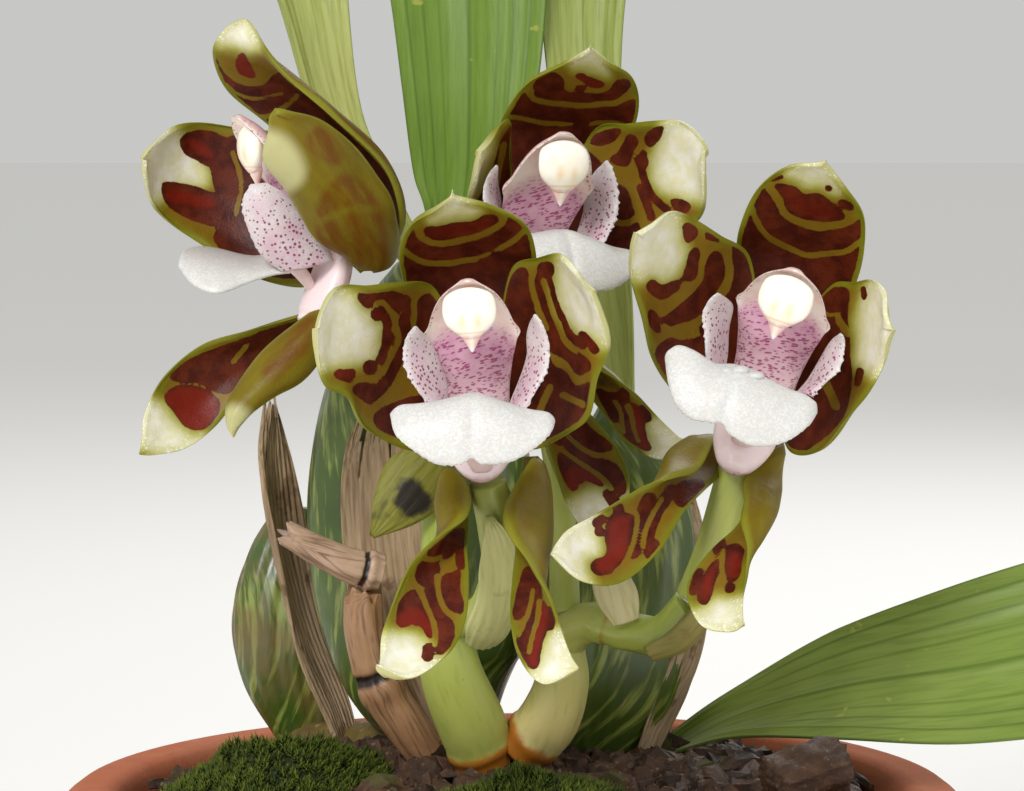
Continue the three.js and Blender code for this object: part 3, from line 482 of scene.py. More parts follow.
def runner(stations, rows):
    """The runner's skin: thin raised scars nine times along it, and shallow dents between."""
    built = stalk(stations, rows, 40, lambda t, a: 1 + 0.05 * np.exp(-((t * 9 % 1 - 0.5) / 0.09) ** 2)
                  + 0.03 * np.sin(3 * a + 9 * t) + 0.015 * np.sin(11 * a - 20 * t))
    return (*closed_tube(built[0]), {})


# Woody runner: brown skin over green, ridged along, with dry flakes.
woody, shader = new_material("woody_runner_skin", Roughness=0.62)
skin = node(woody, "Mix", grain(woody, 4, 5), "#4a3416", "#7a6a30")
skin = node(woody, "Mix", grain(woody, 1.2, 4, (0.55, 0.72, 0, 0.7)), skin, "#a58a5c")
wire(woody, shader, Base_Color=skin, Normal=node(woody, "Bump", grain(woody, 0.9, 5), 0.0003, 0.7))
add_piece("rhizome", *joined([runner(MAIN_RUNNER, 110), runner(SIDE_RUNNER, 60)])[:2], woody, "bulb")

# Pseudobulbs
# Three swollen storage stems, four-angled and glossy: the newest in front, one at the right, and a
# smaller shrunken one behind. Each ends in a scar ring where its leaf stands.
# How wrinkled each is, and its stations: x, y, z, half width, half depth.
BULBS = {
    "bulb_front": (0.25, [(-8.4,13.4,80.6, 4.2,3.6), (-9,14,85.4, 7.5,6.5), (-11,16,93, 13,9.5),
        (-12,17,105, 16,11), (-12.4,18,118, 16.2,11), (-12,18.5,131, 14,10), (-11,19,142, 9.4,7.4),
        (-10,19.5,149.4, 4.2,4)]),
    "bulb_right": (0.5, [(11.4,8.8,80.4, 3.4,3), (12,9,84.8, 5.6,5), (13.2,9.4,92, 9.4,7.6), (14.2,10.2,102,
        10.8,8.6), (14.8,11,113, 10.4,8), (14.8,12,122, 7.6,6), (14.6,13,129.4, 3.2,3)]),
    "bulb_back": (1.0, [(-28.4,31.2,78.4, 3,2.8), (-29,32,83, 5.4,5), (-30,33,90, 8.2,7.2), (-30.5,34,98,
        9,8), (-30,35,106.5, 7.2,6.4), (-29.5,35.5,113, 3.8,3.6)]),
}


def fibre_place(material, along_scale, across="across"):
    """Coordinates for a pattern drawn out along a piece: metres across it, and mm along times the scale."""
    return node(material, "CombineXYZ", node(material, "Math", across, 0.001),
                node(material, "Math", "along", along_scale))


# Bulb skin: deep green and waxy, with paler green and straw streaks along it, browner at the foot.
bulb_skin, shader = new_material("waxy_bulb_skin", Specular_IOR_Level=0.6, Coat_Weight=0.25,
                                 Coat_Roughness=0.2)
streaks = fibre_place(bulb_skin, 0.00012, "around")
flesh = node(bulb_skin, "Mix", grain(bulb_skin, 9, 3), "#31480f", "#4c6418")
flesh = node(bulb_skin, "Mix", grain(bulb_skin, 1.6, 4, (0.5, 0.64, 0, 0.85), streaks), flesh, "#94a04a")
flesh = node(bulb_skin, "Mix", grain(bulb_skin, 0.9, 3, (0.68, 0.76, 0, 0.7), streaks), flesh, "#b8ab6c")
worn = node(bulb_skin, "Math", "age", grain(bulb_skin, 7, 5, (0.36, 0.62)))
flesh = node(bulb_skin, "Mix", worn, flesh, "#7a5c30")
wire(bulb_skin, shader, Base_Color=flesh, Roughness=grain(bulb_skin, 3, 3, (0.3, 0.7, 0.3, 0.52)),
     Normal=node(bulb_skin, "Bump", grain(bulb_skin, 0.8, 3, where=streaks), 0.00012, 0.6))


def hump(values, middle, width):
    """A bell curve: one at the middle, falling with the square of the distance over the width."""
    return np.exp(-((values - middle) / width) ** 2)


def add_tube(name, built, material, slot, **more):
    """One closed tube piece from what stalk gives."""
    add_piece(name, *closed_tube(built[0]), material, slot, tube_fields(*built, **more))


def bulb_shape(t, a, w):
    """A bulb's share of its ellipse: four angles, wrinkles by w, and a scar ring near the top."""
    wrinkles = (0.022 * np.cos(13 * a + 2 * np.sin(4 * t)) + 0.02 * np.sin(29 * a + 3 * np.sin(5 * t))
                + 0.012 * np.sin(9 * t + 3 * a))
    return 1 + 0.07 * np.cos(4 * (a - math.pi / 4)) + w * wrinkles + 0.03 * hump(t, 0.955, 0.012)


for name, (wrinkle, rows) in BULBS.items():
    built = stalk(rows, 100, 96, lambda t, a: bulb_shape(t, a, wrinkle))
    t = built[1][:, None]
    ends = 0.9 * hump(t, 0, 0.09) + 0.9 * hump(t, 1, 0.04)
    age = np.clip(0.2 * wrinkle + ends + (wrinkle > 0.9) * 0.4, 0, 1)
    add_tube(name, built, bulb_skin, "bulb", age=age)

# Leaves
# Four soft pleated leaves: each grows from the top of a bulb on a folded stalk and widens to a thin
# blade with raised parallel veins. The low one stands on the runner at the right.
# How pale each is, and its stations: x, y, z, half width, the way its face looks, curl in degrees.
LEAVES = {
    "leaf_broad": (0.0, [(-9.4,19.5,150.2, 3, 0,-1,0, 140), (-6.4,20,158, 7, 0,-1,0, 50), (-5.8,21,172, 9.4,
        0,-1,0, 34), (-6.2,24,190, 11.6, 0,-1,0, 30), (-8,30,214, 15, 0,-1,0.2, 30), (-11,40,243, 17,
        0,-1,0.3, 30), (-15,55,273, 13, 0,-1,0.5, 30), (-20,74,301, 0.5, 0,-1,0.8, 20)]),
    "leaf_left": (1.0, [(-13.6,20.5,149, 2.6, 0.3,-1,0, 150), (-18.6,22,157, 3.4, 0.3,-1,0, 120),
        (-24,23,168, 4, 0.3,-1,0, 110), (-27.6,25,184, 5.6, 0.3,-1,0, 90), (-32,31,205, 9, 0.3,-1,0.1, 60),
        (-39,44,231, 13.5, 0.3,-1,0.3, 40), (-47,61,257, 12, 0.3,-1,0.5, 30), (-56,82,280, 0.5, 0.3,-1,0.7,
        20)]),
    "leaf_right": (0.8, [(14.5,13.4,130.2, 2.6, 0,-1,0, 150), (13.4,17,141, 3.6, 0,-1,0, 120), (11.4,21,156,
        4.8, 0,-1,0, 100), (9.8,24,174, 5.6, 0,-1,0, 80), (10.2,27,193, 7.4, 0,-1,0, 60), (14,34,217, 11.5,
        0,-1,0.2, 40), (22,46,244, 13, 0,-1,0.4, 34), (34,63,270, 0.5, 0,-1,0.6, 20)]),
    "leaf_low": (0.3, [(20,17,80.6, 2.4, 0,-0.6,1, 120), (30,11,87, 5, 0,-0.7,1, 60), (44,5,92, 9.5,
        0,-0.9,1, 40), (60,-1,95.6, 13, 0,-1,0.9, 30), (78,-6,100, 14.6, 0,-1,0.9, 30), (97,-9,103, 12.5,
        0,-1,0.9, 30), (114,-10,103, 7.5, 0,-1,0.9, 25), (127,-10,101, 0.5, 0,-1,0.9, 20)]),
}
LEAF_GRID = (130, 41)
LEAF_RIM, LEAF_HALF = 1.2, 0.42


def across_steps(columns):
    """Steps across a sheet from -1 to 1, closer together at its edges: the sine of even steps."""
    return np.sin(np.linspace(-1, 1, columns) * math.pi / 2)


def blade(stations, t, v):
    """A blade's middle layer over t along and v across (-1 to 1): each cross-section is an arc of the
    station's half width and curl about the way it faces. Gives points, the direction out of the face,
    half widths and lengths."""
    s = along(stations, t)
    side = unit(np.cross(ways_along(stations, t), s[:, 4:7]))
    face = np.cross(side, ways_along(stations, t))
    half = np.maximum(s[:, 3], 0.3)
    bend = np.radians(s[:, 7]) / 2
    bend = np.where(np.abs(bend) < 0.02, 0.02, bend)
    turn = v[None] * bend[:, None]
    swing = (half / bend)[:, None]
    points = s[:, None, :3] + side[:, None] * (swing * np.sin(turn))[..., None]
    points = points + face[:, None] * (swing * (1 - np.cos(turn)))[..., None]
    out = face[:, None] * np.cos(turn)[..., None] - side[:, None] * np.sin(turn)[..., None]
    return points, out, half[:, None], lengths(s[:, :3])[:, None]


def closed_sheet(middle, out, depth):
    """Both faces of a sheet that share their rim: the middle layer moved out and in by the half depth,
    which is nothing at the rim. Gives points, faces, and a function that spreads a grid of values over
    the front and the same or another one over the back."""
    rows, columns = depth.shape
    depth = np.pad(depth[1:-1, 1:-1], 1)[..., None]
    back = (middle - out * depth)[1:-1, 1:-1]
    front_numbers = np.arange(rows * columns).reshape(rows, columns)
    back_numbers = front_numbers.copy()
    back_numbers[1:-1, 1:-1] = rows * columns + np.arange((rows - 2) * (columns - 2)).reshape(rows - 2, -1)
    front_quads, back_quads = (np.stack([n[:-1, :-1], n[:-1, 1:], n[1:, 1:], n[1:, :-1]], -1).reshape(-1, 4)
                               for n in (front_numbers, back_numbers))

    def both(front_values, back_values=None):
        near = np.broadcast_to(front_values, (rows, columns))
        far = near if back_values is None else np.broadcast_to(back_values, (rows, columns))
        return np.concatenate([near.ravel(), far[1:-1, 1:-1].ravel()])

    points = np.vstack([(middle + out * depth).reshape(-1, 3), back.reshape(-1, 3)])
    return points, np.vstack([front_quads, back_quads[:, ::-1]]).tolist(), both


def add_sheet(name, middle, out, depth, material, slot, **grids):
    """One closed sheet piece, with face at 1 on its front, -1 on its back and 0 at its rim."""
    points, faces, both = closed_sheet(middle, out, depth)
    front = np.pad(np.ones(np.subtract(depth.shape, 2)), 1)
    fields = {key: both(values) for key, values in grids.items()}
    add_piece(name, points, faces, material, slot, {**fields, "face": both(front, -front)})


def rounded(distance, rim, most):
    """Half thickness at a distance from the rim: a quarter circle over the rim's width, then most."""
    near = np.clip(distance / rim, 0, 1)
    return most * np.sqrt(np.maximum(1 - (1 - near) ** 2, 0))


def let_through(material, shader, colour, share):
    """Lets light through a thin piece: that share of its surface is a translucent shader."""
    glow = node(material, "BsdfTranslucent", colour)
    thin = node(material, "MixShader", share, shader.outputs[0], glow)
    wire(material, material.node_tree.nodes["Material Output"], Surface=thin)


# Leaf tissue: fresh yellow green with darker lines along the veins, a soft shine, and light passing through.
leaf, shader = new_material("pleated_leaf_tissue", Roughness=0.42, Specular_IOR_Level=0.45)
fibres = fibre_place(leaf, 0.00008)
tissue = node(leaf, "Mix", grain(leaf, 22, 3), "#6f8f2c", "#86a53c")
tissue = node(leaf, "Mix", node(leaf, "Math", "pale", 0.9), tissue, "#c6c878")
tissue = node(leaf, "Mix", grain(leaf, 0.7, 3, (0.42, 0.7, 0, 0.3), fibres), tissue, "#557616")
tissue = node(leaf, "Mix", node(leaf, "MapRange", "vein", 0.35, 0.95, 0, 0.6), tissue, "#4c6d12")
tissue = node(leaf, "Mix", grain(leaf, 3.2, 2, (0.7, 0.74, 0, 0.6)), tissue, "#c3c25a")
tissue = node(leaf, "Mix", node(leaf, "MapRange", "face", -0.4, 0.4, 0.35, 0), tissue, "#8a9c58")
wire(leaf, shader, Base_Color=tissue,
     Normal=node(leaf, "Bump", grain(leaf, 0.35, 2, where=fibres), 0.00006, 0.6))
let_through(leaf, shader, tissue, 0.28)
for name, (pale, rows) in LEAVES.items():
    t, v = np.linspace(0, 1, LEAF_GRID[0]), across_steps(LEAF_GRID[1])
    middle, out, half, length = blade(rows, t, v)
    veins = np.cos(v * math.pi * 5) ** 8 * np.clip(half / 8, 0.25, 1)
    folds = np.cos(v * math.pi * 2.5) * np.clip(half / 12, 0, 1)
    wave = np.abs(v) ** 3 * np.sin(length / 9 + v * 2) * np.clip(half / 10 - 0.4, 0, 1)
    middle = middle + out * (0.3 * veins + 0.28 * folds + 0.7 * wave)[..., None]
    from_rim = np.minimum(half * (1 - np.abs(v)), length[-1] - length + 0.3)
    depth = rounded(from_rim, LEAF_RIM, LEAF_HALF)
    add_sheet(name, middle, out, depth, leaf, "leaf", vein=veins, along=length,
              across=half * v, pale=pale * np.clip(1.5 - 1.5 * t, 0, 1)[:, None])

# Dry sheaths
# Papery leaf bases round the bulbs, dead since last season: thin, brittle, ribbed with fibres, split
# and frayed at the free end, straw coloured with brown patches. Stations as the leaves'.
SHEATHS = {
    "sheath_front": [(-6.8,4.8,81.5, 3.4, 0.1,1,0, 40), (-8.5,4.6,87, 4.5, 0.1,1,0, 40), (-13,4.6,98, 7.4,
        0.1,1,0, 40), (-15.6,5.2,110, 7.6, 0.15,1,0, 38), (-16.4,6,122, 6.4, 0.15,1,0, 34), (-16.4,7.6,133,
        2.2, 0.15,1,-0.1, 20)],
    "sheath_left": [(-22.4,21.2,79.6, 2.2, 1,-0.6,0, 60), (-24,22,86, 3, 1,-0.6,0, 60), (-28.6,23,97, 4.4,
        1,-0.6,0, 60), (-31.6,24,109, 4.6, 1,-0.6,0, 60), (-32.8,24.5,121, 3.6, 1,-0.6,0, 50), (-33,25,131,
        0.5, 1,-0.6,0, 30)],
    "sheath_right": [(17.8,6.2,81.4, 3, -1,0.4,0, 60), (20,6.6,87, 4, -1,0.4,0, 70), (24.4,8,95, 6,
        -1,0.3,0, 90), (26,9.4,104, 6.4, -1,0.2,0, 90), (25.2,10.6,113, 5, -1,0.2,0, 80), (23.2,11.6,120,
        1.2, -1,0.2,0, 40)],
}
SHEATH_GRID = (110, 61)
SHEATH_RIM, SHEATH_HALF = 0.5, 0.22
# Dead sheath: dry straw brown, fibres darker along the length, paler between, light comes through a little.
papery, shader = new_material("dry_papery_sheath", Roughness=0.7, Specular_IOR_Level=0.3)
fibres = fibre_place(papery, 0.00006)
fibre = grain(papery, 0.55, 4, where=fibres)
dry = node(papery, "Mix", grain(papery, 8, 4), "#b99a76", "#d6bf9c")
dry = node(papery, "Mix", node(papery, "MapRange", fibre, 0.34, 0.62, 0.45, 1), "#77573a", dry)
dry = node(papery, "Mix", grain(papery, 0.9, 3, (0.62, 0.72, 0, 0.7), fibres), dry, "#d6c3a0")
dry = node(papery, "Mix", grain(papery, 5, 5, (0.58, 0.66, 0, 0.65)), dry, "#6d4a2e")
wire(papery, shader, Base_Color=dry, Normal=node(papery, "Bump", fibre, 0.00035, 0.9))
let_through(papery, shader, dry, 0.25)
for name, rows in SHEATHS.items():
    t, v = np.linspace(0, 1, SHEATH_GRID[0]), across_steps(SHEATH_GRID[1])
    middle, out, half, length = blade(rows, t, v)
    fray = 0.05 * (1 + np.sin(23 * v) * np.sin(51 * v + 1)) + 0.05 * np.abs(np.sin(9 * v + 2)) ** 6
    pull = np.clip((t[:, None] - 0.7) / 0.3, 0, 1) ** 2
    row = np.clip(t[:, None] - pull * fray * 1.6, 0, 1) * (len(t) - 1)
    low = np.minimum(row.astype(int), len(t) - 2)
    columns = np.arange(len(v))
    to_next = middle[low + 1, columns] - middle[low, columns]
    middle = middle[low, columns] + to_next * (row - low)[..., None]
    out = out[low, columns]
    ribs = 0.16 * np.sin(v * 31) + 0.1 * np.sin(v * 67 + 2 * np.sin(t[:, None] * 9))
    middle = middle + out * (ribs + 0.7 * np.sin(length / 6.5 + 3 * v) * np.abs(v) ** 2)[..., None]
    depth = rounded(half * (1 - np.abs(v)), SHEATH_RIM, SHEATH_HALF)
    add_sheet(name, middle, out, depth, papery, "dry_sheath", along=length, across=half * v)

# Old stalk
# Last season's flower stalk, dead and shrunken: a shiny brown stump with one dark joint, and on it a
# short broken branch that has dried to a pinkish straw.
# Name: stations, darker and lighter skin colour, where along it the joint is, the way its width lies.
OLD_STALKS = {
    "old_stalk": ([(-11.5,-1,85, 2.6), (-14.2,-2.4,89, 2.8), (-17.6,-3.2,94.8, 2.8), (-19.2,-3.6,101, 2.6),
        (-19.4,-3.8,106.4, 2.4)], "#8a6140", "#b58d66", 0.45, (1, 0, 0)),
    "old_stalk_stub": ([(-17.2,-4.2,109.2, 2.4), (-21,-5.2,110.2, 2.2), (-25,-6,112.2, 1.9),
        (-29,-6.6,114.4, 1.6)], "#a98468", "#cbae95", 0.12, (0, 1, 0)),
}
for name, (rows, low, high, joint, side) in OLD_STALKS.items():
    rings, t, angle, length = stalk(rows, 90, 40, lambda t, a: 1 + 0.05 * np.sin(7 * a + 4 * t)
                                    + 0.04 * np.sin(12 * a - 7 * t) + 0.12 * hump(t, joint, 0.05)
                                    - 0.1 * hump(t, joint + 0.08, 0.03), side)
    ragged = 0.9 * np.sin(3 * angle + 1) + 0.6 * np.sin(8 * angle)
    broken = np.clip((t - 0.93) / 0.07, 0, 1)[:, None] * ragged
    rings = rings + unit(rings[-1].mean(0) - rings[-6].mean(0)) * broken[..., None]
    # Dead skin: dried brown or straw, with darker wrinkles, a little shiny, nearly black at the joint.
    skin, shader = new_material(name + "_dry_skin", Roughness=0.38, Specular_IOR_Level=0.5)
    wrinkles = fibre_place(skin, 0.00008, "around")
    colour = node(skin, "Mix", grain(skin, 3, 4), low, high)
    colour = node(skin, "Mix", grain(skin, 0.5, 3, (0.5, 0.7, 0, 0.6), wrinkles), colour, "#3a2312")
    colour = node(skin, "Mix", node(skin, "MapRange", "joint", 0.2, 0.8), colour, "#20130b")
    wire(skin, shader, Base_Color=colour,
         Normal=node(skin, "Bump", grain(skin, 0.5, 3, where=wrinkles), 0.00015, 0.8))
    at_joint = hump(t, joint + 0.08, 0.035)[:, None]
    add_tube(name, (rings, t, angle, length), skin, "dry_sheath", joint=at_joint)

# Flower spikes
# Two short thick flower spikes that rise in a V from the foot of the newest bulb: juicy, smooth and
# waxy, pale yellow green, with an orange-brown scar ring where each leaves the runner.
# How creamy its foot is, and its stations: x, y, z, half width, half depth.
SPIKES = {
    "spike_left": (0.25, [(-3.6,-6.4,85, 4.2,4), (-5.6,-9.6,91, 4.4,4.2), (-7.8,-12.2,97.5, 4,3.8),
        (-8.8,-13,104.5, 3.4,3.3), (-8.9,-11.6,113, 2.8,2.7), (-9.7,-8.8,123.8, 2.3,2.3)]),
    "spike_right": (0.9, [(1.2,-6.6,86.4, 3.6,3.8), (4.4,-8.4,90, 4,3.9), (6.4,-9.8,95.6, 3.5,3.4),
        (6.6,-11.4,101.4, 3,2.9), (10.2,-13.8,104, 2.7,2.6), (15.2,-16.2,103, 2.5,2.5), (19.4,-18.2,103.2,
        2.5,2.5), (22.6,-20,107, 2.4,2.4)]),
}
# Waxy stem: yellow green, creamier towards each spike's foot, orange brown at the scars, soft highlights.
stem, shader = new_material("waxy_flower_stem", Specular_IOR_Level=0.5, Coat_Weight=0.2, Coat_Roughness=0.25,
                            Subsurface_Weight=0.12, Subsurface_Scale=0.002)
fibres = fibre_place(stem, 0.0002, "around")
wax = node(stem, "Mix", grain(stem, 7, 3), "#93a33c", "#aab654")
wax = node(stem, "Mix", "cream", wax, "#d6c384")
wax = node(stem, "Mix", grain(stem, 1.1, 3, (0.5, 0.72, 0, 0.35), fibres), wax, "#7d9230")
scar = node(stem, "Math", "scar", node(stem, "Math", grain(stem, 2.2, 4), 0.6), operation="ADD")
wax = node(stem, "Mix", node(stem, "MapRange", scar, 0.62, 0.95), wax, "#a8661c")
wax = node(stem, "Mix", grain(stem, 0.6, 2, (0.7, 0.76, 0, 0.4)), wax, "#6d7c26")
wire(stem, shader, Base_Color=wax, Roughness=grain(stem, 4, 2, (0.3, 0.7, 0.34, 0.48)),
     Normal=node(stem, "Bump", grain(stem, 0.9, 3, where=fibres), 0.0001, 0.5))


def spike_shape(t, a):
    """A spike's share of its ellipse: low waves round it, a scar ring at its foot and a joint further up."""
    waves = 0.025 * np.cos(3 * a + 5 * t) + 0.015 * np.sin(7 * a + 9 * t)
    return 1 + waves + 0.07 * hump(t, 0.07, 0.02) + 0.05 * hump(t, 0.62, 0.015) - 0.04 * hump(t, 0.65, 0.02)


for name, (creamy, rows) in SPIKES.items():
    built = stalk(rows, 100, 48, spike_shape)
    t = built[1][:, None]
    scar = hump(t, 0.03, 0.07) + 0.5 * hump(t, 0.64, 0.012)
    add_tube(name, built, stem, "stem", cream=creamy * hump(t, 0, 0.45), scar=scar)

# Bracts
# Small leaf-like scales that sheathe the foot of each flower's stalk: the cream one over the front
# stalk, the olive one at the left, a short cream one, and the brownish one round the bend at the right.
# Colour inside, outside and in patches, whether it has a near-black patch in the middle, and the stations as
# the leaves'.
BRACTS = {
    "bract_front": ("#e8e5ae", "#dcdc98", "#b3b868", 0, [(-4.2,-18.6,101.4, 2.2, 0,0.5,0.85, 100),
        (-2.8,-24.4,103.9, 3.3, 0,0.6,0.8, 120), (-1.4,-31.2,110, 3.2, 0,0.8,0.6, 110), (-1.7,-35.8,116.4,
        2.2, 0,0.9,0.4, 90), (-2.8,-37.8,120.6, 0.4, 0,0.9,0.3, 40)]),
    "bract_left": ("#97933a", "#8b882f", "#4c4a1a", 1, [(-9.6,-13.2,125.6, 2.6, 0.3,1,0.2, 60),
        (-12.2,-14.4,122.4, 4.6, 0.3,1,0.3, 60), (-15,-15.2,118.8, 3.4, 0.3,1,0.3, 50), (-17.8,-15.6,115.2,
        0.4, 0.3,1,0.3, 30)]),
    "bract_upper": ("#ece4bc", "#e2d9a8", "#b9ae6e", 0, [(14.4,-19.4,104.6, 1.8, 0,1,0, 100),
        (13.4,-19.4,107.8, 3, 0,1,0, 110), (12.4,-18.8,111, 2.4, 0,1,0, 90), (12,-17.8,113.6, 0.5, 0,1,0,
        50)]),
    "bract_right": ("#bcc07c", "#a39a58", "#7c6a38", 0, [(17.6,-21.4,100.4, 2.4, -0.4,0.5,0.8, 150),
        (22,-23,102.4, 3.4, -0.7,0.5,0.4, 170), (25.4,-24,107.4, 3, -0.8,0.4,0.2, 150), (26.8,-24.4,112.6,
        0.5, -0.8,0.4,0, 90)]),
}
BRACT_GRID = (56, 33)
BRACT_RIM, BRACT_HALF = 0.7, 0.36
for name, (inner, outer, patch, has_dark_middle, rows) in BRACTS.items():
    # Bract tissue: soft, matt and finely veined, one colour inside, another outside, darker patches.
    scale, shader = new_material(name + "_tissue", Roughness=0.52, Specular_IOR_Level=0.4)
    fibres = fibre_place(scale, 0.0001)
    tissue = node(scale, "Mix", node(scale, "MapRange", "face", -0.4, 0.4), outer, inner)
    tissue = node(scale, "Mix", grain(scale, 0.6, 3, (0.45, 0.7, 0, 0.4), fibres), tissue, patch)
    patches = node(scale, "Math", grain(scale, 3.4, 4), node(scale, "Math", "tip", 0.22), operation="ADD")
    tissue = node(scale, "Mix", node(scale, "MapRange", patches, 0.62, 0.8, 0, 0.7), tissue, patch)
    # A near-black patch across the middle of the olive left bract, inside its hood.
    bruise = node(scale, "Math", "bruise", node(scale, "Math", grain(scale, 1.6, 4), 0.8), operation="ADD")
    tissue = node(scale, "Mix", node(scale, "MapRange", bruise, 0.65, 1.05), tissue, "#2b2318")
    wire(scale, shader, Base_Color=tissue,
         Normal=node(scale, "Bump", grain(scale, 0.5, 3, where=fibres), 0.00012, 0.7))
    let_through(scale, shader, tissue, 0.22)
    t, v = np.linspace(0, 1, BRACT_GRID[0]), across_steps(BRACT_GRID[1])
    middle, out, half, length = blade(rows, t, v)
    wave = 0.07 * np.cos(v * 19) + 0.25 * np.abs(v) ** 3 * np.sin(length / 2.1 + v * 2)
    from_rim = np.minimum(half * (1 - np.abs(v)), length[-1] - length + 0.15)
    depth = rounded(from_rim, BRACT_RIM, BRACT_HALF)
    bruise = has_dark_middle * hump(t[:, None], 0.5, 0.18) * hump(v, 0.25, 0.6)
    add_sheet(name, middle + out * wave[..., None], out, depth, scale, "bract", along=length,
              across=half * v, tip=t[:, None] ** 3, bruise=bruise)

# Flower stalks
# Under each flower its own stalk and ovary, one piece: a juicy green rod with six low ridges that
# turn slowly along it, thicker towards the flower.
OVARIES = {
    "front_ovary": [(-6.2,-16.2,104.2, 2), (-3,-21.6,107.2, 2.3), (-1.4,-28,112.6, 2.4), (-1.7,-32.8,118.6,
        2.5), (-3,-34.6,124.4, 2.2)],
    "right_ovary": [(23,-20.4,108.2, 2.3), (24.4,-21.4,112, 2.2), (26.4,-22.6,118, 2.3), (28.6,-25,126.6,
        2.3)],
    "upper_ovary": [(6.8,-11.8,104.8, 2), (6.6,-9.8,112.6, 1.8), (6,-7.8,122, 1.7), (4.4,-7.2,131, 1.8),
        (1,-7.4,140, 2)],
    "left_ovary": [(-10.4,-8.2,125, 2), (-12.6,-7.6,130, 2.1), (-16.6,-7.8,135.8, 2.2), (-21.4,-8.6,142.2,
        2.1)],
}
for name, rows in OVARIES.items():
    built = stalk(rows, 64, 36, lambda t, a: 1 + 0.05 * np.cos(6 * a + 1.6 * t) * np.clip(2 * t, 0, 1)
                  + 0.02 * np.sin(9 * t))
    add_tube(name, built, stem, "stem", cream=0.12, scar=0.0)

# Sepals and petals
# The five tepals of each flower: fleshy lobes, hooded and concave, maroon brown barred with ochre and
# edged with yellow green, the petals cream inside at the tip, each ending in a tiny white point.
# Outlines and marks are read off the photograph in mm from each flower's centre, as seen:
# (right, up), and a depth where minus is nearer; hidden tepals carry copies of these.
EYE = np.array([0.0, -503.2, 175.96])
LEVEL = math.radians(5)
AHEAD = np.array([0, math.cos(LEVEL), -math.sin(LEVEL)])
UPWARD = np.array([0, math.sin(LEVEL), math.cos(LEVEL)])
TEPAL_GRID = (84, 45)
TEPAL_RIM, TEPAL_HALF = 1.8, 0.46
LATERAL_GROWN, OTHERS_GROWN = 0.38, 0.12
LATERALS = ("sepal_left", "sepal_right")
MARK_LIMIT = 3.0
# Centre, turns in degrees and size of each flower; the pose (swing, lift, nod, stretch) of an organ that is
# carried to another flower; how far the column's foot and crown are lowered and its turn; the sunk cap.
FLOWERS = {
    "front": {"at": (-4.2, -33, 134.2), "yaw": 0, "roll": -4, "size": 0.97, "chin": -0.9,
              "sepal_left": (0, 2, 0, 1), "sepal_right": (4, -8, 0, 1)},
    "right": {"at": (31.7, -24, 136.4), "yaw": -8, "roll": 18, "size": 1.0, "chin": 1.6, "crown": 1.2},
    "upper": {"at": (0.2, -6, 150), "yaw": 22, "roll": 0, "size": 1.03, "sepal_left": (0, -30, 0, 1),
              "sepal_right": (0, 3, -10, 0.798), "lip": (0, 0, -12, 1)},
    "left": {"at": (-20.5, -8, 152), "yaw": -65, "roll": 0, "size": 1.0, "column": (0, 0, -2), "sunk": 1.8},
}
HINGES = {"sepal_left": (-2.6, -3, -8), "sepal_right": (-2.6, -3, -8), "lip": (0, -7.2, -9)}


def turn(swing, lift, nod):
    """The matrix that turns by nod about x, then lift about y, then swing about z, in degrees."""
    angles = np.radians((swing, lift, nod))
    (cz, cy, cx), (sz, sy, sx) = np.cos(angles), np.sin(angles)
    about_x = np.array([[1, 0, 0], [0, cx, -sx], [0, sx, cx]])
    about_y = np.array([[cy, 0, sy], [0, 1, 0], [-sy, 0, cy]])
    return np.array([[cz, -sz, 0], [sz, cz, 0], [0, 0, 1]]) @ about_y @ about_x


def placed(points, flower):
    """From a flower's own mm to the frame's mm: sized, rolled, yawed and moved to its place."""
    f = FLOWERS[flower]
    return np.asarray(points) * f["size"] @ turn(f["yaw"], f["roll"], 0).T + f["at"]


def carried(points, organ, source, target):
    """An organ's points from one flower to the same organ of another: taken back to the flower's own mm,
    its pose about its hinge undone, the other flower's pose done, and placed there. Right-hand organs are
    posed as mirrored left ones."""
    f = FLOWERS[source]
    mirror = np.array([-1, 1, 1]) if organ.endswith("right") else np.array([1, 1, 1])
    local = (points - f["at"]) @ turn(f["yaw"], f["roll"], 0) / f["size"] * mirror
    *turns, stretch = f.get(organ, (0, 0, 0, 1))
    local = (local - HINGES[organ]) @ turn(*turns) / stretch
    *turns, stretch = FLOWERS[target][organ]
    return placed(((local * stretch) @ turn(*turns).T + HINGES[organ]) * mirror, target)


def seen(flower, spots):
    """Points in the frame's mm from what is seen: (right, up, depth) in mm from the flower's centre, on the
    line of sight through that spot of the plane at the centre."""
    centre = np.array(FLOWERS[flower]["at"]) - EYE
    far = centre @ AHEAD
    deep = far + spots[..., 2]
    right = (spots[..., 0] + centre[0]) * deep / far
    up = (spots[..., 1] + centre @ UPWARD) * deep / far
    return EYE + right[..., None] * [1.0, 0, 0] + up[..., None] * UPWARD + deep[..., None] * AHEAD


def three_rails(rows, t, v):
    """A sheet through rows of three points (edge v = -1, middle, edge v = 1): smooth along the rows, and
    across each the parabola through its three points."""
    s = along(rows, t)
    low, mid, high = s[:, None, 0:3], s[:, None, 3:6], s[:, None, 6:9]
    v = v[None, :, None]
    return mid + (high - low) / 2 * v + ((high + low) / 2 - mid) * v ** 2


def facing(middle):
    """The direction out of a grid's face: across times along, at length one."""
    return unit(np.cross(np.gradient(middle, axis=1), np.gradient(middle, axis=0)))


def rim_distance(middle):
    """Mm from the sheet's rim at each point of its grid: the shorter of the way across to an edge and along
    to the tip. Gives mm across from the middle and mm along too."""
    steps = np.linalg.norm(np.diff(middle, axis=1), axis=-1)
    across = np.pad(np.cumsum(steps, 1), ((0, 0), (1, 0)))
    length = lengths(middle[:, middle.shape[1] // 2])[:, None]
    rim = np.minimum(np.minimum(across, across[:, -1:] - across), length[-1] - length)
    return rim, across - across[:, -1:] / 2, length


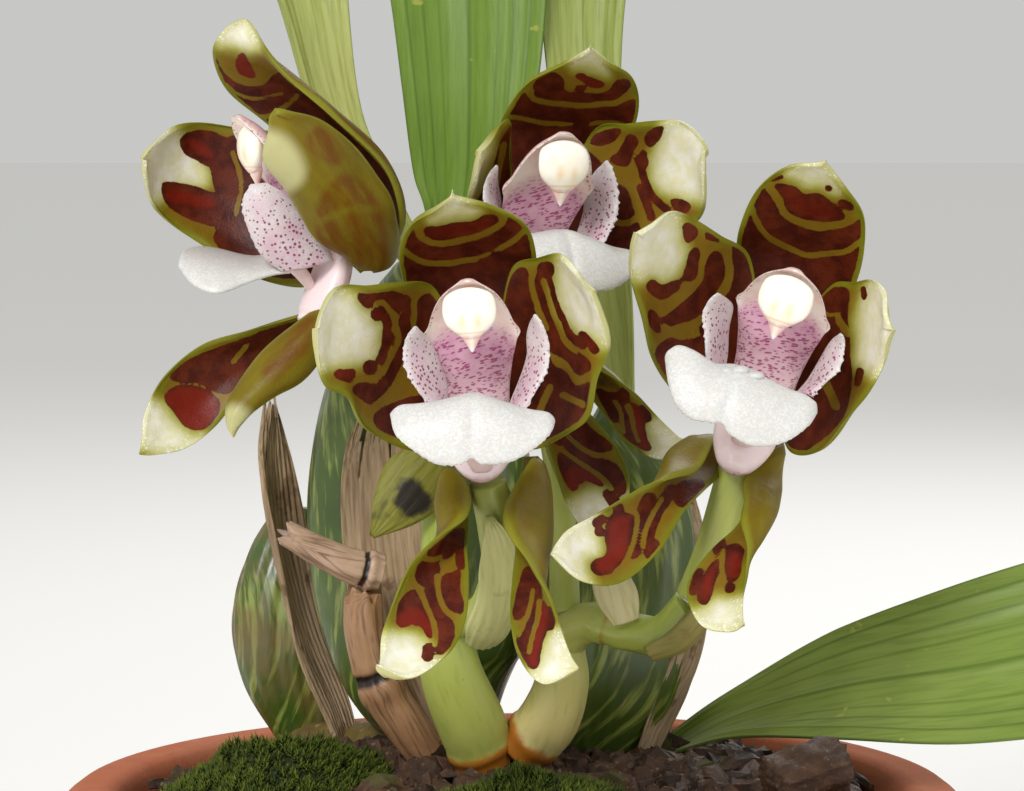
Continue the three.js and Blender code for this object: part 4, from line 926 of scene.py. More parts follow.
def eased(line, closed):
    """A line of straight pieces with its corners cut twice over, at a quarter and three quarters of each."""
    line = np.reshape(line, (-1, 2)).astype(float)
    for _ in range(2 if len(line) > 2 else 0):
        a, b = (line, np.roll(line, -1, 0)) if closed else (line[:-1], line[1:])
        cut = np.stack([a * 0.75 + b * 0.25, a * 0.25 + b * 0.75], 1).reshape(-1, 2)
        line = cut if closed else np.vstack([line[:1], cut[1:-1], line[-1:]])
    return line


def stroke(x, z, line, half):
    """Signed mm field of a stroke along a line, plus inside: half width less the way to its nearest piece
    of line."""
    line = eased(line, False)
    a, d = line[:-1], np.diff(line, axis=0)
    p = np.stack([x, z], -1)[..., None, :] - a
    k = np.clip((p * d).sum(-1) / np.maximum((d * d).sum(-1), 1e-9), 0, 1)
    return half - np.sqrt(((p - k[..., None] * d) ** 2).sum(-1).min(-1))


def region(x, z, corners):
    """Signed mm field of a closed outline, plus inside: the distance to its nearest side, with an even-odd
    test."""
    a = eased(corners, True)
    b = np.roll(a, -1, 0)
    away = -stroke(x, z, np.vstack([a, a[:1]]), 0.0)
    rise = np.where(b[:, 1] == a[:, 1], 1e-9, b[:, 1] - a[:, 1])
    at_height = (b[:, 0] - a[:, 0]) * (z[..., None] - a[:, 1]) / rise + a[:, 0]
    crossed = ((a[:, 1] > z[..., None]) != (b[:, 1] > z[..., None])) & (x[..., None] < at_height)
    return np.where(crossed.sum(-1) % 2 == 1, away, -away)


def marks_of(x, z, rim, marks, grown):
    """The mark fields in mm, plus inside: dark patches and bars, grown by that much and cut by ochre lines
    and by the margin; pale areas; red areas. A mark is a closed outline, or a line with its half width."""
    def most(key):
        fields = [stroke(x, z, *m) if isinstance(m, tuple) else region(x, z, m) for m in marks.get(key, ())]
        return np.max([np.full(x.shape, -MARK_LIMIT), *fields], 0)

    dark = np.minimum(most("dark") + grown, rim - marks.get("margin", 0.5))
    for line, half in marks.get("lines", ()):
        dark = np.minimum(dark, -stroke(x, z, line, half + 0.07 + 0.3 * grown))
    fields = {"dark": dark, "pale": most("pale"), "red": most("red")}
    return {key: np.clip(values, -MARK_LIMIT, MARK_LIMIT) for key, values in fields.items()}


# For each tepal its rails, three points to a row from its foot to its tip, and its marks.
TEPALS = {
    ("front", "sepal_dorsal"): (
     [[-3,1,2, -0.2,0.6,2.8, 2.6,1,2], [-7.2,8.5,1.5, -0.8,8,3.4, 5.4,9,1.5], [-9.1,14.6,-1.5,
      -1.2,14.4,1.4, 7,14.5,-1.5], [-9.6,18.6,-5.5, -1.6,18.4,-2.6, 7,18.7,-5.5], [-8.1,21.5,-9.5,
      -2,21.6,-7.3, 5.5,21.8,-9.5], [-5.3,23.2,-12.4, -2.6,23.7,-11.5, 1.6,23.9,-12.2], [-3.5,24.8,-14.6,
      -3,24.9,-14.6, -2.5,24.8,-14.6], [-3.15,25.8,-15.6, -3.1,25.8,-15.6, -3.05,25.8,-15.6]], {
     "margin": 0.55,
     "dark": [[-9.8,21, -8,21.7, -7.2,20.4, -6.1,19.8, -4.7,19.6, -3.4,19.6, -1.9,20, -0.4,20.4, 1.1,20.9,
      2.3,21.5, 3.3,22.2, 3.7,23, 5,22.6, 8.5,20, 8,0, -10,0], [-6.7,21.1, -5.9,21.5, -4.9,21.4, -3.4,21.8,
      -1.9,21.9, -0.6,22.1, 0.2,22.4, 0.8,22.9, 2.3,22.9, 2.6,22.3, 2.3,21.7, 1.5,21.2, 0.3,20.7, -1,20.2,
      -2.4,19.9, -3.7,19.8, -5,19.9, -6.3,20.3]],
     "lines": [([-7.5,21.4, -7.2,20.2, -6.1,19.6, -4.7,19.4, -3.4,19.4, -1.9,19.8, -0.4,20.2, 1.1,20.7,
      2.3,21.3, 3.2,22, 3.4,23], 0.28), ([-9,18.6, -8.1,17.8, -7.2,17.2, -6,16.9, -4.6,17, -3.1,16.9,
      -1.8,17.3, -0.4,17.5], 0.25), ([-0.4,17.5, 0.8,17.9, 1.7,18.3], 0.1), ([2.7,18.7, 3.8,19.4, 4.8,20,
      5.8,20.9], 0.25)],
     "pale": [[-6.4,22, -4.9,21.9, -2.6,22.3, -0.4,22.7, 0.6,23.5, -1,24.6, -3,27, -5,23.4]],
     "red": [[-6.4,20.4, -3.4,20.1, 0,20.9, 2,21.9, 1.6,22.6, 0,22, -3.4,21.5, -5.8,21.2]]}),
    ("front", "petal_left"): (
     [[-3.6,-5.5,0.5, -2.9,-1,0.8, -2.6,3.5,0.5], [-7,-6.3,-1, -5.6,1.8,0, -3.4,9.5,-0.5], [-10.4,-5.4,-4,
      -9,3.4,-2.6, -5.6,14.1,-3], [-13.8,-3.2,-8.6, -12.2,5,-6.4, -9.6,14.5,-7.4], [-15.9,0.3,-11.6,
      -15.2,6.6,-9.8, -13.4,14.1,-10.9], [-18.7,1.8,-14.2, -17.9,8,-13, -16.8,14,-13.8], [-19.5,5.5,-16,
      -19,8.8,-15.6, -18.8,11.3,-15.8], [-19.6,8.8,-17.4, -19.6,8.9,-17.4, -19.6,9,-17.4]], {
     "margin": 0.9,
     "dark": [[-18,3.2, -17.3,3.8, -16.5,3.7, -15.1,3.9, -15.3,2.9, -15.9,2.1, -16.8,2.4, -17.6,2.7],
      ([-13.4,4, -13.2,4.1], 0.8), ([-12.4,10.6, -12.3,10.6], 0.75), ([-12,11.2, -11.4,10.3, -11.1,9.2,
      -11.3,8.2, -11.4,6.9, -11.8,5.7, -12.1,4.9], 0.45), ([-11.1,7.9, -11,7.7], 0.65), [-14.9,13,
      -14.2,13.5, -12.1,13.7, -10.7,13.6, -9.3,13, -8.2,12.7, -8.4,11.9, -9.4,11.2, -10,10.7, -10.7,11.6,
      -11.4,12.2, -12.1,12.4, -12.8,12.1, -13.2,11.5, -13.7,11.4, -14.5,12], ([-8.6,10.9, -9.4,9.8,
      -9.3,8.6], 0.5), ([-8.8,9, -9.4,7, -10,5.3, -10.8,3.7, -11.6,2.2, -12.2,0.8], 0.8), [-15.6,1.4,
      -14.9,2.1, -13.9,2.1, -12.4,1.9, -12.1,0.3, -13,-0.5, -13.7,-0.3, -14.5,0.4, -15.3,0.8], [-7.6,13,
      -4,13, -2,5, -2,-6, -9,-6, -12.4,-3.4, -13,-1.6, -10.6,-0.4, -8.6,0.4, -6.6,0.6, -7.2,2.8, -8.4,4.6,
      -8,8]],
     "lines": [([-12.7,11.9, -12,12.3, -11.3,11.6, -10.7,10.8, -10.3,10.1, -10.1,9, -9.7,8, -9.9,6.9,
      -10.6,5.9, -11.1,4.7, -11.5,3.6, -12.7,2.5], 0.22), ([-8.9,3.5, -9.9,2.5, -10.7,1.4, -11.5,0.4,
      -12.7,-0.6, -13.8,-1.5], 0.25), ([-7.9,12.8, -8,9.3, -8,6], 0.22)],
     "pale": [[-22,16, -14.9,13.2, -14.5,12.1, -13.7,11.4, -12.9,11.1, -12.7,9.8, -11.8,9.5, -11.7,8.7,
      -12,7, -12.2,5.6, -12.9,4.9, -13.8,4.5, -14.9,4, -18,4, -22,2]],
     "red": [([-13.3,6.2, -13.1,6.1], 0.35), ([-17.6,3.2, -15.4,3.4], 0.4), ([-12.4,10.6, -12.3,10.6],
      0.5)]}),
    ("front", "petal_right"): (
     [[2.6,3.5,0.5, 2.9,-1,0.8, 3.4,-5.4,0.5], [2.8,10,-1, 5.2,2,0, 7,-6,-1.5], [4.2,16.3,-3.5, 8,5,-2.6,
      10.6,-4.3,-5], [7.4,17.5,-7, 10.4,8,-5.6, 13.6,-2,-8.6], [10,18,-10.4, 12,10.2,-8.9, 14.6,2.6,-11.6],
      [11.9,16.3,-13.2, 13.5,11.3,-12.2, 15.8,6.1,-13.8], [12.8,14.4,-15.6, 13.7,12.6,-15.2, 15,10,-15.4],
      [13.8,13.4,-17, 13.8,13.4,-17, 13.85,13.3,-17]], {
     "margin": 0.7,
     "dark": [[7.3,16.7, 8.7,17, 9.5,16.6, 9.3,15.3, 8.3,14.9, 7.4,15.4], ([8,15.8, 7.5,14.1, 8.2,12,
      8.8,9.9], 0.6), ([8.8,9.9, 9.3,7.9, 10.2,6.6, 11.5,5.2, 13,4.2], 1.1), ([8.8,14.6, 9.2,13, 9.8,11.3,
      10.5,9.9, 11,8.6, 12,7.6, 13,6.8], 0.45), ([13,8.1, 13.8,7.2, 14.5,6.2], 0.42), [4.6,16.3, 6.2,16.3,
      6.6,13, 7,11, 8,9, 8.6,6.4, 9.4,4, 10.8,3.8, 12,1.6, 13.4,2, 14.4,2.4, 14.2,0, 13.6,-2, 11,-4.2, 7,-6,
      2,-6, 2,10, 3.4,14]],
     "lines": [([8.2,14.8, 8.8,12.6, 9.5,10.6, 10.2,8.9, 10.8,7.2, 12.2,6.1], 0.24), ([7,16.7, 6.7,15.3,
      6.8,13.6, 7.3,12, 8,10.3, 8.6,8.9], 0.25), ([9.5,5.4, 10.8,4.7, 11.5,3.6, 12.2,2.5, 13.5,3, 14.5,3.5],
      0.22), ([10.6,0.7, 11.8,0.1, 13.2,-0.5], 0.3), ([9,1.6, 8,-0.6, 7.4,-2], 0.35)],
     "pale": [[9.8,19, 9.3,15, 9.5,13.3, 10,11.3, 10.8,9.4, 12.2,8.1, 13.9,7.6, 14.9,6.2, 17,6, 17,19]],
     "red": [([13.4,7.6, 14.2,6.6], 0.3)]}),
    ("front", "sepal_left"): (
     [[-1.6,-8,4, -3.6,-7.9,1, -2.2,-8.1,0], [-1,-10.6,3, -4.3,-10.4,-1, -1.2,-10.4,-4], [-1,-13,0,
      -4.6,-12.9,-4, -0.8,-12.7,-8], [-1.2,-16,-5, -4.3,-15.4,-7.5, -1.6,-14.6,-11], [-1.3,-18.5,-9.5,
      -4.6,-18.5,-10, -4.5,-16.5,-13.4], [-1.1,-21.5,-13, -5.2,-21.8,-12.4, -7.9,-19.7,-15.5],
      [-1.5,-26.7,-17, -6,-26,-15.4, -10.1,-24.4,-18], [-3.6,-30.8,-20, -7.6,-30,-18.6, -11.7,-28.6,-20],
      [-8,-33.9,-22, -10.4,-33.2,-21.4, -11.9,-32,-22], [-12.3,-32.5,-22.6, -12.3,-32.4,-22.6,
      -12.35,-32.3,-22.6]], {
     "margin": 0.35,
     "dark": [[-8,-23.3, -9.3,-24.6, -9.7,-26, -9.8,-27.6, -8.7,-27.5, -8.4,-27, -7.8,-27.4, -7,-27.3,
      -6.4,-28, -5.7,-29.2, -5.3,-28.6, -5.7,-27.3, -6.6,-25.4, -7.2,-23.9], [-6.6,-23.1, -5.4,-22.8,
      -4.6,-24.6, -4.3,-26.5, -3,-27.5, -3.2,-29, -4,-30.5, -4.8,-31.1, -5,-29.6, -5.1,-27.5, -6.2,-25.2],
      [-4.3,-21.6, -3,-21.6, -2.1,-21, -2.5,-23.1, -1.9,-24.8, -1.9,-26, -3,-26.4, -3.6,-25.8, -4.2,-24.2],
      ([-6,-30.5, -6.1,-31.4], 0.4), [-2.5,-15.6, -6.6,-18.6, -5.1,-19.2, -3.4,-19.2, -2.5,-17.2],
      [-7,-19.6, -5,-19.8, -5,-22, -6.6,-22.8, -7.6,-21.8], ([-2,-16.5, -1.8,-20], 0.5)],
     "lines": [([-9.8,-23.7, -8.9,-22.9, -7.8,-22.5, -7.2,-23.3, -6.6,-24.8, -5.7,-26.5, -5.1,-28.4,
      -5.2,-29.9], 0.17), ([-5.1,-21.6, -4.9,-23.3, -4.5,-24.8, -3.6,-26.3, -2.1,-26.7], 0.17),
      ([-7.2,-19.2, -5.4,-19.5, -4.7,-19.2], 0.16)],
     "pale": [[-14,-28.2, -9.8,-28.2, -6.6,-28.8, -5.8,-30, -5.2,-31.6, -3,-30.8, -3,-36, -14,-36]],
     "red": [[-10.2,-26.2, -8,-25.2, -6.4,-26, -5,-28.6, -5.6,-29.6, -7,-27.8, -8.6,-28, -10.2,-28]]}),
    ("front", "sepal_right"): (
     [[6.6,-7,0, 7.2,-6.8,2, 5.5,-7,4.5], [4.6,-10.2,-4, 8.3,-10.4,-1, 5,-10.5,3], [3.1,-13.6,-9,
      8.6,-14,-4.4, 4.4,-14.5,0], [3.6,-16.3,-12, 8.5,-17.5,-8, 4.6,-18,-6], [6.1,-19.6,-15, 7.8,-21,-11.6,
      4.2,-22,-11], [8.3,-23.3,-17.5, 7,-25,-14.8, 4,-26.5,-15.5], [9.9,-27.5,-19.5, 7.6,-29,-17.6,
      5,-31.3,-19], [11.4,-31.2,-21.5, 9.6,-32.6,-20.8, 8,-34.7,-21.5], [12.35,-32.7,-22.5,
      12.3,-32.8,-22.5, 12.25,-32.9,-22.5]], {
     "margin": 0.3,
     "dark": [[6.1,-20.4, 5.4,-22.4, 4.9,-24.4, 4.6,-25.8, 4.7,-26.9, 5.7,-26, 6.5,-23.7, 6.9,-21.6],
      ([7.1,-22.3, 7.3,-24.4, 6.5,-26.9, 5.7,-28.6, 5.3,-30, 5.9,-32], 0.5), ([7.7,-25.2, 8.1,-26.7,
      7.8,-28, 7.2,-29.6, 6.9,-31.3, 6.8,-32.2], 0.5), ([8.8,-25.8, 8.9,-27.6], 0.25)],
     "lines": [([6.9,-23.4, 6.6,-25.4, 5.8,-27.2, 5,-28.8], 0.12), ([7.7,-24.6, 7.5,-26.8, 6.8,-28.8,
      6.3,-31], 0.12)],
     "pale": [[8.6,-27.8, 11,-27.5, 14,-33, 9,-37, 5,-34, 6.6,-33, 7.6,-31.5]],
     "red": [([7.7,-25.2, 8.1,-26.7, 7.8,-28, 7.2,-29.6, 6.9,-31.3, 6.8,-32.2], 0.6)]}),
    ("right", "sepal_dorsal"): (
     [[-2.2,1,2, 0.6,0.6,2.8, 3.2,0.2,2], [-3.4,9,1.5, 2.6,8,3.4, 8.6,6.5,1.5], [-3.7,15.5,-1.8, 4,14,1.2,
      11.4,12.2,-1.8], [-3.1,19.2,-5.4, 5,17.6,-2.6, 12.3,16.8,-5.4], [-1.1,23.3,-9, 6,21.4,-7, 12,20.4,-9],
      [2.4,26,-12, 6.8,24.6,-11, 9.9,23.6,-12], [6.4,26.7,-14.4, 7.2,26.4,-14.4, 7.9,26.1,-14.4],
      [7.3,27,-15.4, 7.3,27,-15.4, 7.35,26.95,-15.4]], {
     "margin": 0.6,
     "dark": [[-2.4,22, -0.4,24, 0.2,23.2, 1,22.2, 1.8,21, 3.4,19.5, 5,18.9, 8.1,18.7, 10,19, 11.4,20,
      13,19, 13,4, -4,4, -4,18], [0.9,24, 1.9,24.2, 3,24, 4,23.6, 4.2,23.1, 5,22.7, 5.9,23.1, 7,22.9,
      8.1,21.9, 9.2,21.1, 10,20, 9.2,19.6, 7.8,19.5, 6.2,19.7, 4.6,19.8, 3,20.3, 2.4,21.1, 2.3,22.2,
      1.8,23], ([0.7,24.6, 1.3,24.8, 1.9,25], 0.16), ([7.8,23.7, 7.9,23.7], 0.35), ([9.6,21.7, 10.5,21.4],
      0.5)],
     "lines": [([0.2,23.8, 1.1,22.7, 1.8,21.6, 2.2,20.5, 3.4,19.7, 5,19.1, 6.9,18.7, 8.1,18.9, 10,19.2,
      11.3,20], 0.34), ([-1.8,21.1, -1.3,19.7, -0.6,18.4, 0.5,17.4, 2.1,16.5, 3.7,15.8, 5,15.3, 6.5,15.3,
      8,15.5, 10,15.7, 11,16.3, 12.2,17.2], 0.25)],
     "pale": [[2,25, 4,24.4, 5,23.6, 7,23.8, 8.6,22.8, 10,23, 7.4,29, 3,26.4]],
     "red": [[1.6,23.8, 3.6,23, 5,22, 7.6,21.6, 9.4,20.2, 7,20, 4,20.4, 3,21.6]]}),
    ("right", "petal_left"): (
     [[-2.6,-5,0.5, -2,-1,0.8, -1.6,3,0.5], [-7,-5,-1.5, -4.4,2.5,0, -1.2,9.5,-1], [-11,-2.4,-5,
      -7.4,6,-2.6, -2.2,15.3,-3.5], [-14.1,2.4,-8.4, -10,9,-5.8, -5.6,17.6,-7], [-15.5,7.4,-11.4,
      -12.4,12.4,-9, -8.8,19.6,-10.4], [-16.7,12,-14, -14.2,15.4,-12.4, -11.6,20.6,-13.6], [-16.6,15.6,-16,
      -15.4,17.2,-15.4, -14.4,19,-15.8], [-16.2,17.9,-17.2, -16.2,17.95,-17.2, -16.15,18,-17.2]], {
     "dark": [[-10.4,19, -9.5,19.2, -8.5,18.3, -9.1,17.3, -10,16.6, -10.4,17.7], [-8.9,16.5, -8.3,15.4,
      -8.7,13.8, -8.6,12.7, -9.5,11.9, -10.8,12.3, -10,13.6, -9.8,15.2], [-15.5,11.3, -14.3,12.3,
      -13.5,11.5, -12.7,11.4, -11.6,12, -10.7,12.1, -10.8,11.1, -12,10.2, -13.1,9.6, -14.1,10], ([-7.9,17.7,
      -6.2,17.5, -5.6,16.7], 0.35), [-7.1,15.6, -7.7,13.6, -8.5,11.1, -10,9.6, -11.8,8.2, -13.1,7.3,
      -13.8,8.2, -15.2,8.4, -15,6.4, -13.3,5.2, -12,6.6, -9.1,7.1, -7.5,8.8, -6.6,10.4, -5.4,12.1,
      -5.3,13.8, -5.8,15.8], [-4.4,17, -3,16, -1,14, -1,-5, -8,-5, -12.5,-1, -14,2.6, -13.2,4.6, -9.4,5.4,
      -7,7.4, -5.2,10, -4,13]],
     "lines": [([-8.3,18.7, -8.1,17.1, -7.7,15.6, -8.1,13.8, -8.3,12.1, -9.3,11.1, -10.8,10.2, -12.4,8.6,
      -13.3,7.8], 0.26), ([-15.5,10.4, -14.5,9.2, -13.3,7.8], 0.22), ([-5.6,16.8, -4.8,14.7, -4.6,12.8,
      -5.2,10.8], 0.4), ([-12.9,6.2, -11,4.9, -8.7,5.4], 0.35)],
     "pale": [[-10.4,22, -10.4,19.1, -10.4,16.9, -9.8,16.2, -10,14.8, -10.8,12.9, -12.9,11.5, -14.3,12.4,
      -15.5,11.7, -19,12, -19,22]],
     "red": [([-12,13.6, -11.8,13.6], 0.4)]}),
    ("right", "petal_right"): (
     [[2.4,3.2,0.5, 2.2,-1,0.8, 1.4,-5,0.5], [5.6,8.4,-1, 5,0.5,0, 3,-9.4,-1.5], [8.4,11.6,-3.6,
      7.8,1.6,-2.4, 6.6,-9.2,-5], [11,11.8,-7, 10.4,3,-5.8, 10.2,-5,-8.6], [13.2,12.1,-10.4, 12.6,4.4,-9.2,
      12.6,-2.3,-11.6], [14.9,10.6,-13.6, 14.2,5.2,-12.6, 14.4,1,-14], [15.1,8,-15.8, 14.9,5.6,-15.4,
      14.9,4,-15.8], [15.7,5.9,-17, 15.7,5.8,-17, 15.7,5.75,-17]], {
     "margin": 0.6,
     "dark": [[5,8, 7.2,10.8, 9,11.2, 10.6,11, 10.2,8.6, 10.4,6, 10.6,3, 10.8,0.4, 10.6,-3.6, 8,-7, 4,-10,
      1,-10, 2,4], ([11.8,0.6, 11.7,-0.8], 0.42), ([12.1,10.9, 12.3,10], 0.3)],
     "lines": [([9.2,7.1, 9.8,6.2, 10.3,5.4], 0.35), ([7.5,-0.7, 8.2,-2.2, 8.9,-3.7], 0.45), ([6.4,8.6,
      8,7.6, 9.4,7.8], 0.14)],
     "pale": [[12.6,13, 11.7,9.3, 11.3,7.5, 11.2,5, 11.1,2.4, 11.3,1.2, 11.9,0.2, 17,-1, 17,13]]}),
    ("right", "sepal_left"): (
     [[-4,-8,4, -8.1,-7.3,1.5, -6,-7,0], [-5.5,-12,1, -11.6,-9.6,-2, -8.4,-11.6,-6], [-7.5,-14,-4,
      -12.6,-12.6,-6.5, -11.6,-12.7,-11], [-10.1,-16.6,-9, -13.8,-16.4,-10.4, -15.2,-13.7,-14],
      [-13.2,-21.6,-14, -17.4,-19.8,-14.2, -20,-16.6,-17], [-18,-25.6,-18, -21.6,-22.4,-17.6,
      -24.4,-18.9,-19.4], [-23,-25.5,-21, -24.8,-22.6,-20.6, -26,-20.6,-21.2], [-26.8,-22.3,-22.4,
      -26.8,-22.2,-22.4, -26.8,-22.1,-22.4]], {
     "margin": 0.35,
     "dark": [[-17,-17.1, -19.3,-17.4, -19.8,-18.9, -20,-20.2, -19.5,-21.7, -20,-22.9, -21.6,-23.2,
      -21.7,-24.2, -20.8,-24.7, -19,-24.2, -17.7,-22.9, -17,-20.7, -16.7,-18.6], ([-20.5,-17.8,
      -21.2,-18.3], 0.25), ([-20.9,-19.2, -20.9,-19.4], 0.25), ([-18.5,-16.2, -18.4,-17], 0.3),
      ([-14.8,-15.2, -15.8,-17.6, -16.1,-20, -16.6,-22], 0.55), ([-12,-14.4, -13.8,-16.8, -14.6,-19,
      -15,-20.9], 0.5), ([-14.2,-21.6, -14.2,-21.8], 0.8), [-7.4,-13.2, -10.6,-13.4, -11.6,-14.4, -11,-16.4,
      -9.4,-15.4]],
     "lines": [([-17.2,-16.1, -16.2,-17.1, -16.3,-19.1, -16.7,-21.2, -17.5,-23.2, -18.8,-24.5], 0.15),
      ([-13.2,-15.3, -14.4,-17.4, -15.3,-19.6, -15.4,-21.4], 0.14)],
     "pale": [[-20.4,-16.5, -20.9,-18.8, -20.5,-21.5, -21,-22.6, -22.2,-23, -22.3,-24.5, -21,-27, -28,-27,
      -28,-16]],
     "red": [[-17,-17.1, -19.3,-17.4, -20,-20.2, -19.5,-21.7, -21.6,-23.4, -20.8,-24.7, -18.6,-23.8,
      -17.4,-21.6]]}),
    ("right", "sepal_right"): (
     [[1,-9,0, 2,-8,2, -1,-9,4], [-2.6,-12.5,-4, 1.4,-12,0, -1.5,-12.5,2], [-2.8,-15.5,-8, 1.3,-14.6,-3.4,
      -2,-15.5,-2], [-3.2,-18,-11.4, 0.6,-17.4,-7.4, -4,-19,-7], [-2.4,-21.2,-14, -1.6,-20.4,-11,
      -7.4,-22.2,-11.4], [-2.5,-24.5,-16, -5,-24.4,-13.6, -9.9,-26.3,-15.4], [-2.9,-27.2,-18,
      -6,-28.2,-16.4, -8.2,-30.9,-18.6], [-2.9,-29.8,-19.8, -4.2,-30.7,-19.4, -4.5,-31.8,-20.2],
      [-2.65,-30.8,-21, -2.7,-30.8,-21, -2.75,-30.85,-21]], {
     "margin": 0.3,
     "dark": [[-5,-21.4, -2.9,-21.3, -3.1,-23.2, -3.6,-25.2, -4.4,-25.5, -5,-24.7], [-6,-24.2, -6.7,-25.5,
      -7,-27.3, -7.7,-28.5, -8.4,-28, -8.2,-26.3, -7.3,-24.5, -6,-22.9], ([-8.4,-24.4, -9.2,-26.8], 0.22),
      ([-4.4,-26.3, -4.5,-26.5], 0.25), [-5.6,-20.4, -6.6,-22, -5.4,-22.6, -5.2,-21]],
     "lines": [([-5.4,-22, -5.6,-23.8, -5.2,-25.6], 0.16)],
     "pale": [[-11,-29, -8,-29.2, -6.4,-27.4, -4.4,-27.6, -2,-27, -2,-33, -11,-33]],
     "red": [[-4.8,-21.8, -3,-22, -3.3,-25, -4.6,-25.4], [-6.2,-23.6, -7,-27.3, -7.8,-28.3, -8.2,-26.3,
      -7.2,-24.4]]}),
    ("upper", "sepal_dorsal"): (
     [[-1,1,2, 2,0.6,2.8, 5,1,2], [-1.6,9,1.5, 5,8.5,3.6, 12,9,1.5], [-1.9,16.4,-1.5, 7,15.6,1.4,
      15.4,16.6,-1.5], [-0.5,20,-5.2, 7.9,19.4,-2.4, 16.2,20.6,-5.2], [2.1,23,-9, 8.7,22.8,-7,
      15.2,23.7,-9], [6.4,25.2,-12, 9.3,25.6,-11, 12.4,25.5,-12], [9.3,27.1,-14, 9.85,27.1,-14,
      10.4,27.1,-14], [9.9,27.9,-15, 9.93,27.9,-15, 9.96,27.9,-15]], {
     "dark": [[2.5,22.5, 3.2,23.4, 3.8,24.1, 4.8,24.3, 5.9,24.1, 6.5,23.3, 6.4,22.5, 6.6,21.9, 8.2,21.6,
      9.9,21.7, 11.4,21.6, 12.6,22.1, 12.9,22.9, 13.7,23.5, 14.7,23.5, 15.1,23, 15,22.3, 14,21.6, 13.2,20.8,
      11.9,20.6, 10.4,20.7, 8.9,20.5, 7.2,20.7, 5.5,20.8, 4.3,21, 3.6,20.8, 2.7,21.3, 2.8,21.9], [7.7,23.8,
      8.7,24.4, 9.4,23.9, 10.6,23.5, 11.9,22.9, 11.4,22.4, 10.1,22.5, 9.2,23.2], ([8.3,22.3, 9,22.4], 0.32),
      [1.3,22.4, 1.9,21.2, 2.5,20.6, 4.3,20.3, 5.8,19.9, 8.7,19.7, 11.1,20, 13.6,20.1, 15.8,21, 16.4,19,
      15,4, -2,4, -2.2,19]],
     "lines": [([1.3,22.6, 1.9,21.8, 2.5,20.9, 3.8,20.6, 5.5,20.4, 7.2,20.2, 9.2,20.1, 11.1,20.3, 13.3,20.4,
      14.8,21.2, 15.7,21.9], 0.25), ([-1.4,18.8, 0.2,18.7, 1.9,18.2, 3.8,17.9, 6.3,17.7], 0.2), ([6.3,17.7,
      7.8,17.7], 0.08), ([9.9,17.7, 11.6,18, 13.3,17.9, 15,17.4], 0.16)],
     "pale": [[7.4,24.6, 9,25, 11,24.2, 12.4,23.6, 12.6,25, 10,29, 7,26]],
     "red": [[7.7,23.8, 8.7,24.4, 9.4,23.9, 10.6,23.5, 11.9,22.9, 11.4,22.4, 8,22]]}),
    ("upper", "petal_left"): (
     [[-1.5,-4.5,0.5, -1,-0.5,0.8, -0.5,3.5,0.5], [-3.6,-3,-2, -2,4,-0.6, -0.2,10,-2], [-5.2,1.5,-6,
      -3,8,-4.2, -0.3,15,-6], [-5.6,5.2,-10, -3.4,10.5,-8, -0.5,18.1,-10], [-5.8,8.2,-13.5, -3.9,12.2,-12,
      -1.6,17.5,-13.5], [-5.1,10.4,-16, -4.1,13,-15.6, -2.8,15.4,-16], [-4.25,13.9,-17.6, -4.2,13.9,-17.6,
      -4.15,13.95,-17.6]], {
     "margin": 0.6,
     "dark": [[-6,-5, -6,6, -3.4,10, -1,18, 1,18, 1,-5]],
     "lines": [([-3.6,3, -2.6,9, -1.4,15], 0.3)],
     "pale": [[-7,7, -4.6,9, -3.4,12, -2.4,17, -4,20, -8,14]]}),
    ("left", "sepal_dorsal"): (
     [[1,0,4, 3,0.5,1, 4.5,-2,-4], [-1.5,6,6, 4.8,6,2, 6,3,-6], [-6,11,7.5, 1.5,12,4, 4,10,-8], [-11,15.6,7,
      -4,17,3, -2.6,16.4,-9.5], [-16.2,20,4, -9.4,21.4,0, -7.6,20.8,-9], [-18,24.8,0, -14,25,-3,
      -10.8,24.4,-8], [-16.4,27.8,-4, -14.4,27.9,-5, -12.8,27.6,-7], [-13.85,29,-6.5, -13.8,29,-6.5,
      -13.75,29,-6.5]], {
     "dark": [[-17.6,25, -17,22.8, -15.4,21, -13,20.3, -11,20.8, -9.9,22.4, -7,22.4, 0,17, 8,8, 9,-4, 0,-4,
      -4,8, -12,13, -20,19, -19,25], [-14,25.2, -15.1,23.7, -14.5,22.1, -12.1,21.6, -13.2,23.4]],
     "lines": [([-17.2,21.6, -15,19.4, -11.8,18.8, -9,19.8], 0.12), ([-14.4,16.8, -11.4,16.4, -8.8,17.8,
      -7,19.4], 0.22), ([-8,13.2, -4,14.4, -1.4,14], 0.22)],
     "pale": [[-18,26, -15.4,25.4, -13,24.6, -11.6,25.4, -12,30, -17,30]],
     "red": [[-14,25.4, -15.3,23.7, -14.6,21.9, -11.9,21.4, -13,23.4]]}),
    ("left", "petal_right"): (
     [[4,-3,-3, 2.6,-3.4,-3.4, 1,-3.6,-3], [6,-0.5,-4, 2.8,-1.4,-7, -1.6,-1,-6], [5.4,4,-7, 0.6,2.4,-11,
      -5.2,1.8,-9], [3.4,8.4,-9, -2.8,6.8,-14, -8.2,6.6,-11.6], [0.2,12.8,-11, -5.6,11,-16, -11.2,11,-14],
      [-4,16,-14, -8,14.6,-17, -10.6,14.6,-16], [-8,17.2,-17, -9.4,16.8,-17.6, -10.7,16.4,-17],
      [-10,17.6,-18, -10,17.6,-18, -10.05,17.55,-18]], {
     "dark": [[-3,-4, -4.6,2, -4,7, -1.6,9.4, 1,8, 4,3, 4,-4], [-6.6,13, -5,15.4, -2.6,13.4, -1.4,10.6,
      -3.6,10.4], [-9.4,6.8, -9.8,9, -8.8,8.6, -8.2,6.6]],
     "lines": [([-5,3, -1,5, 3,4.6], 0.3)],
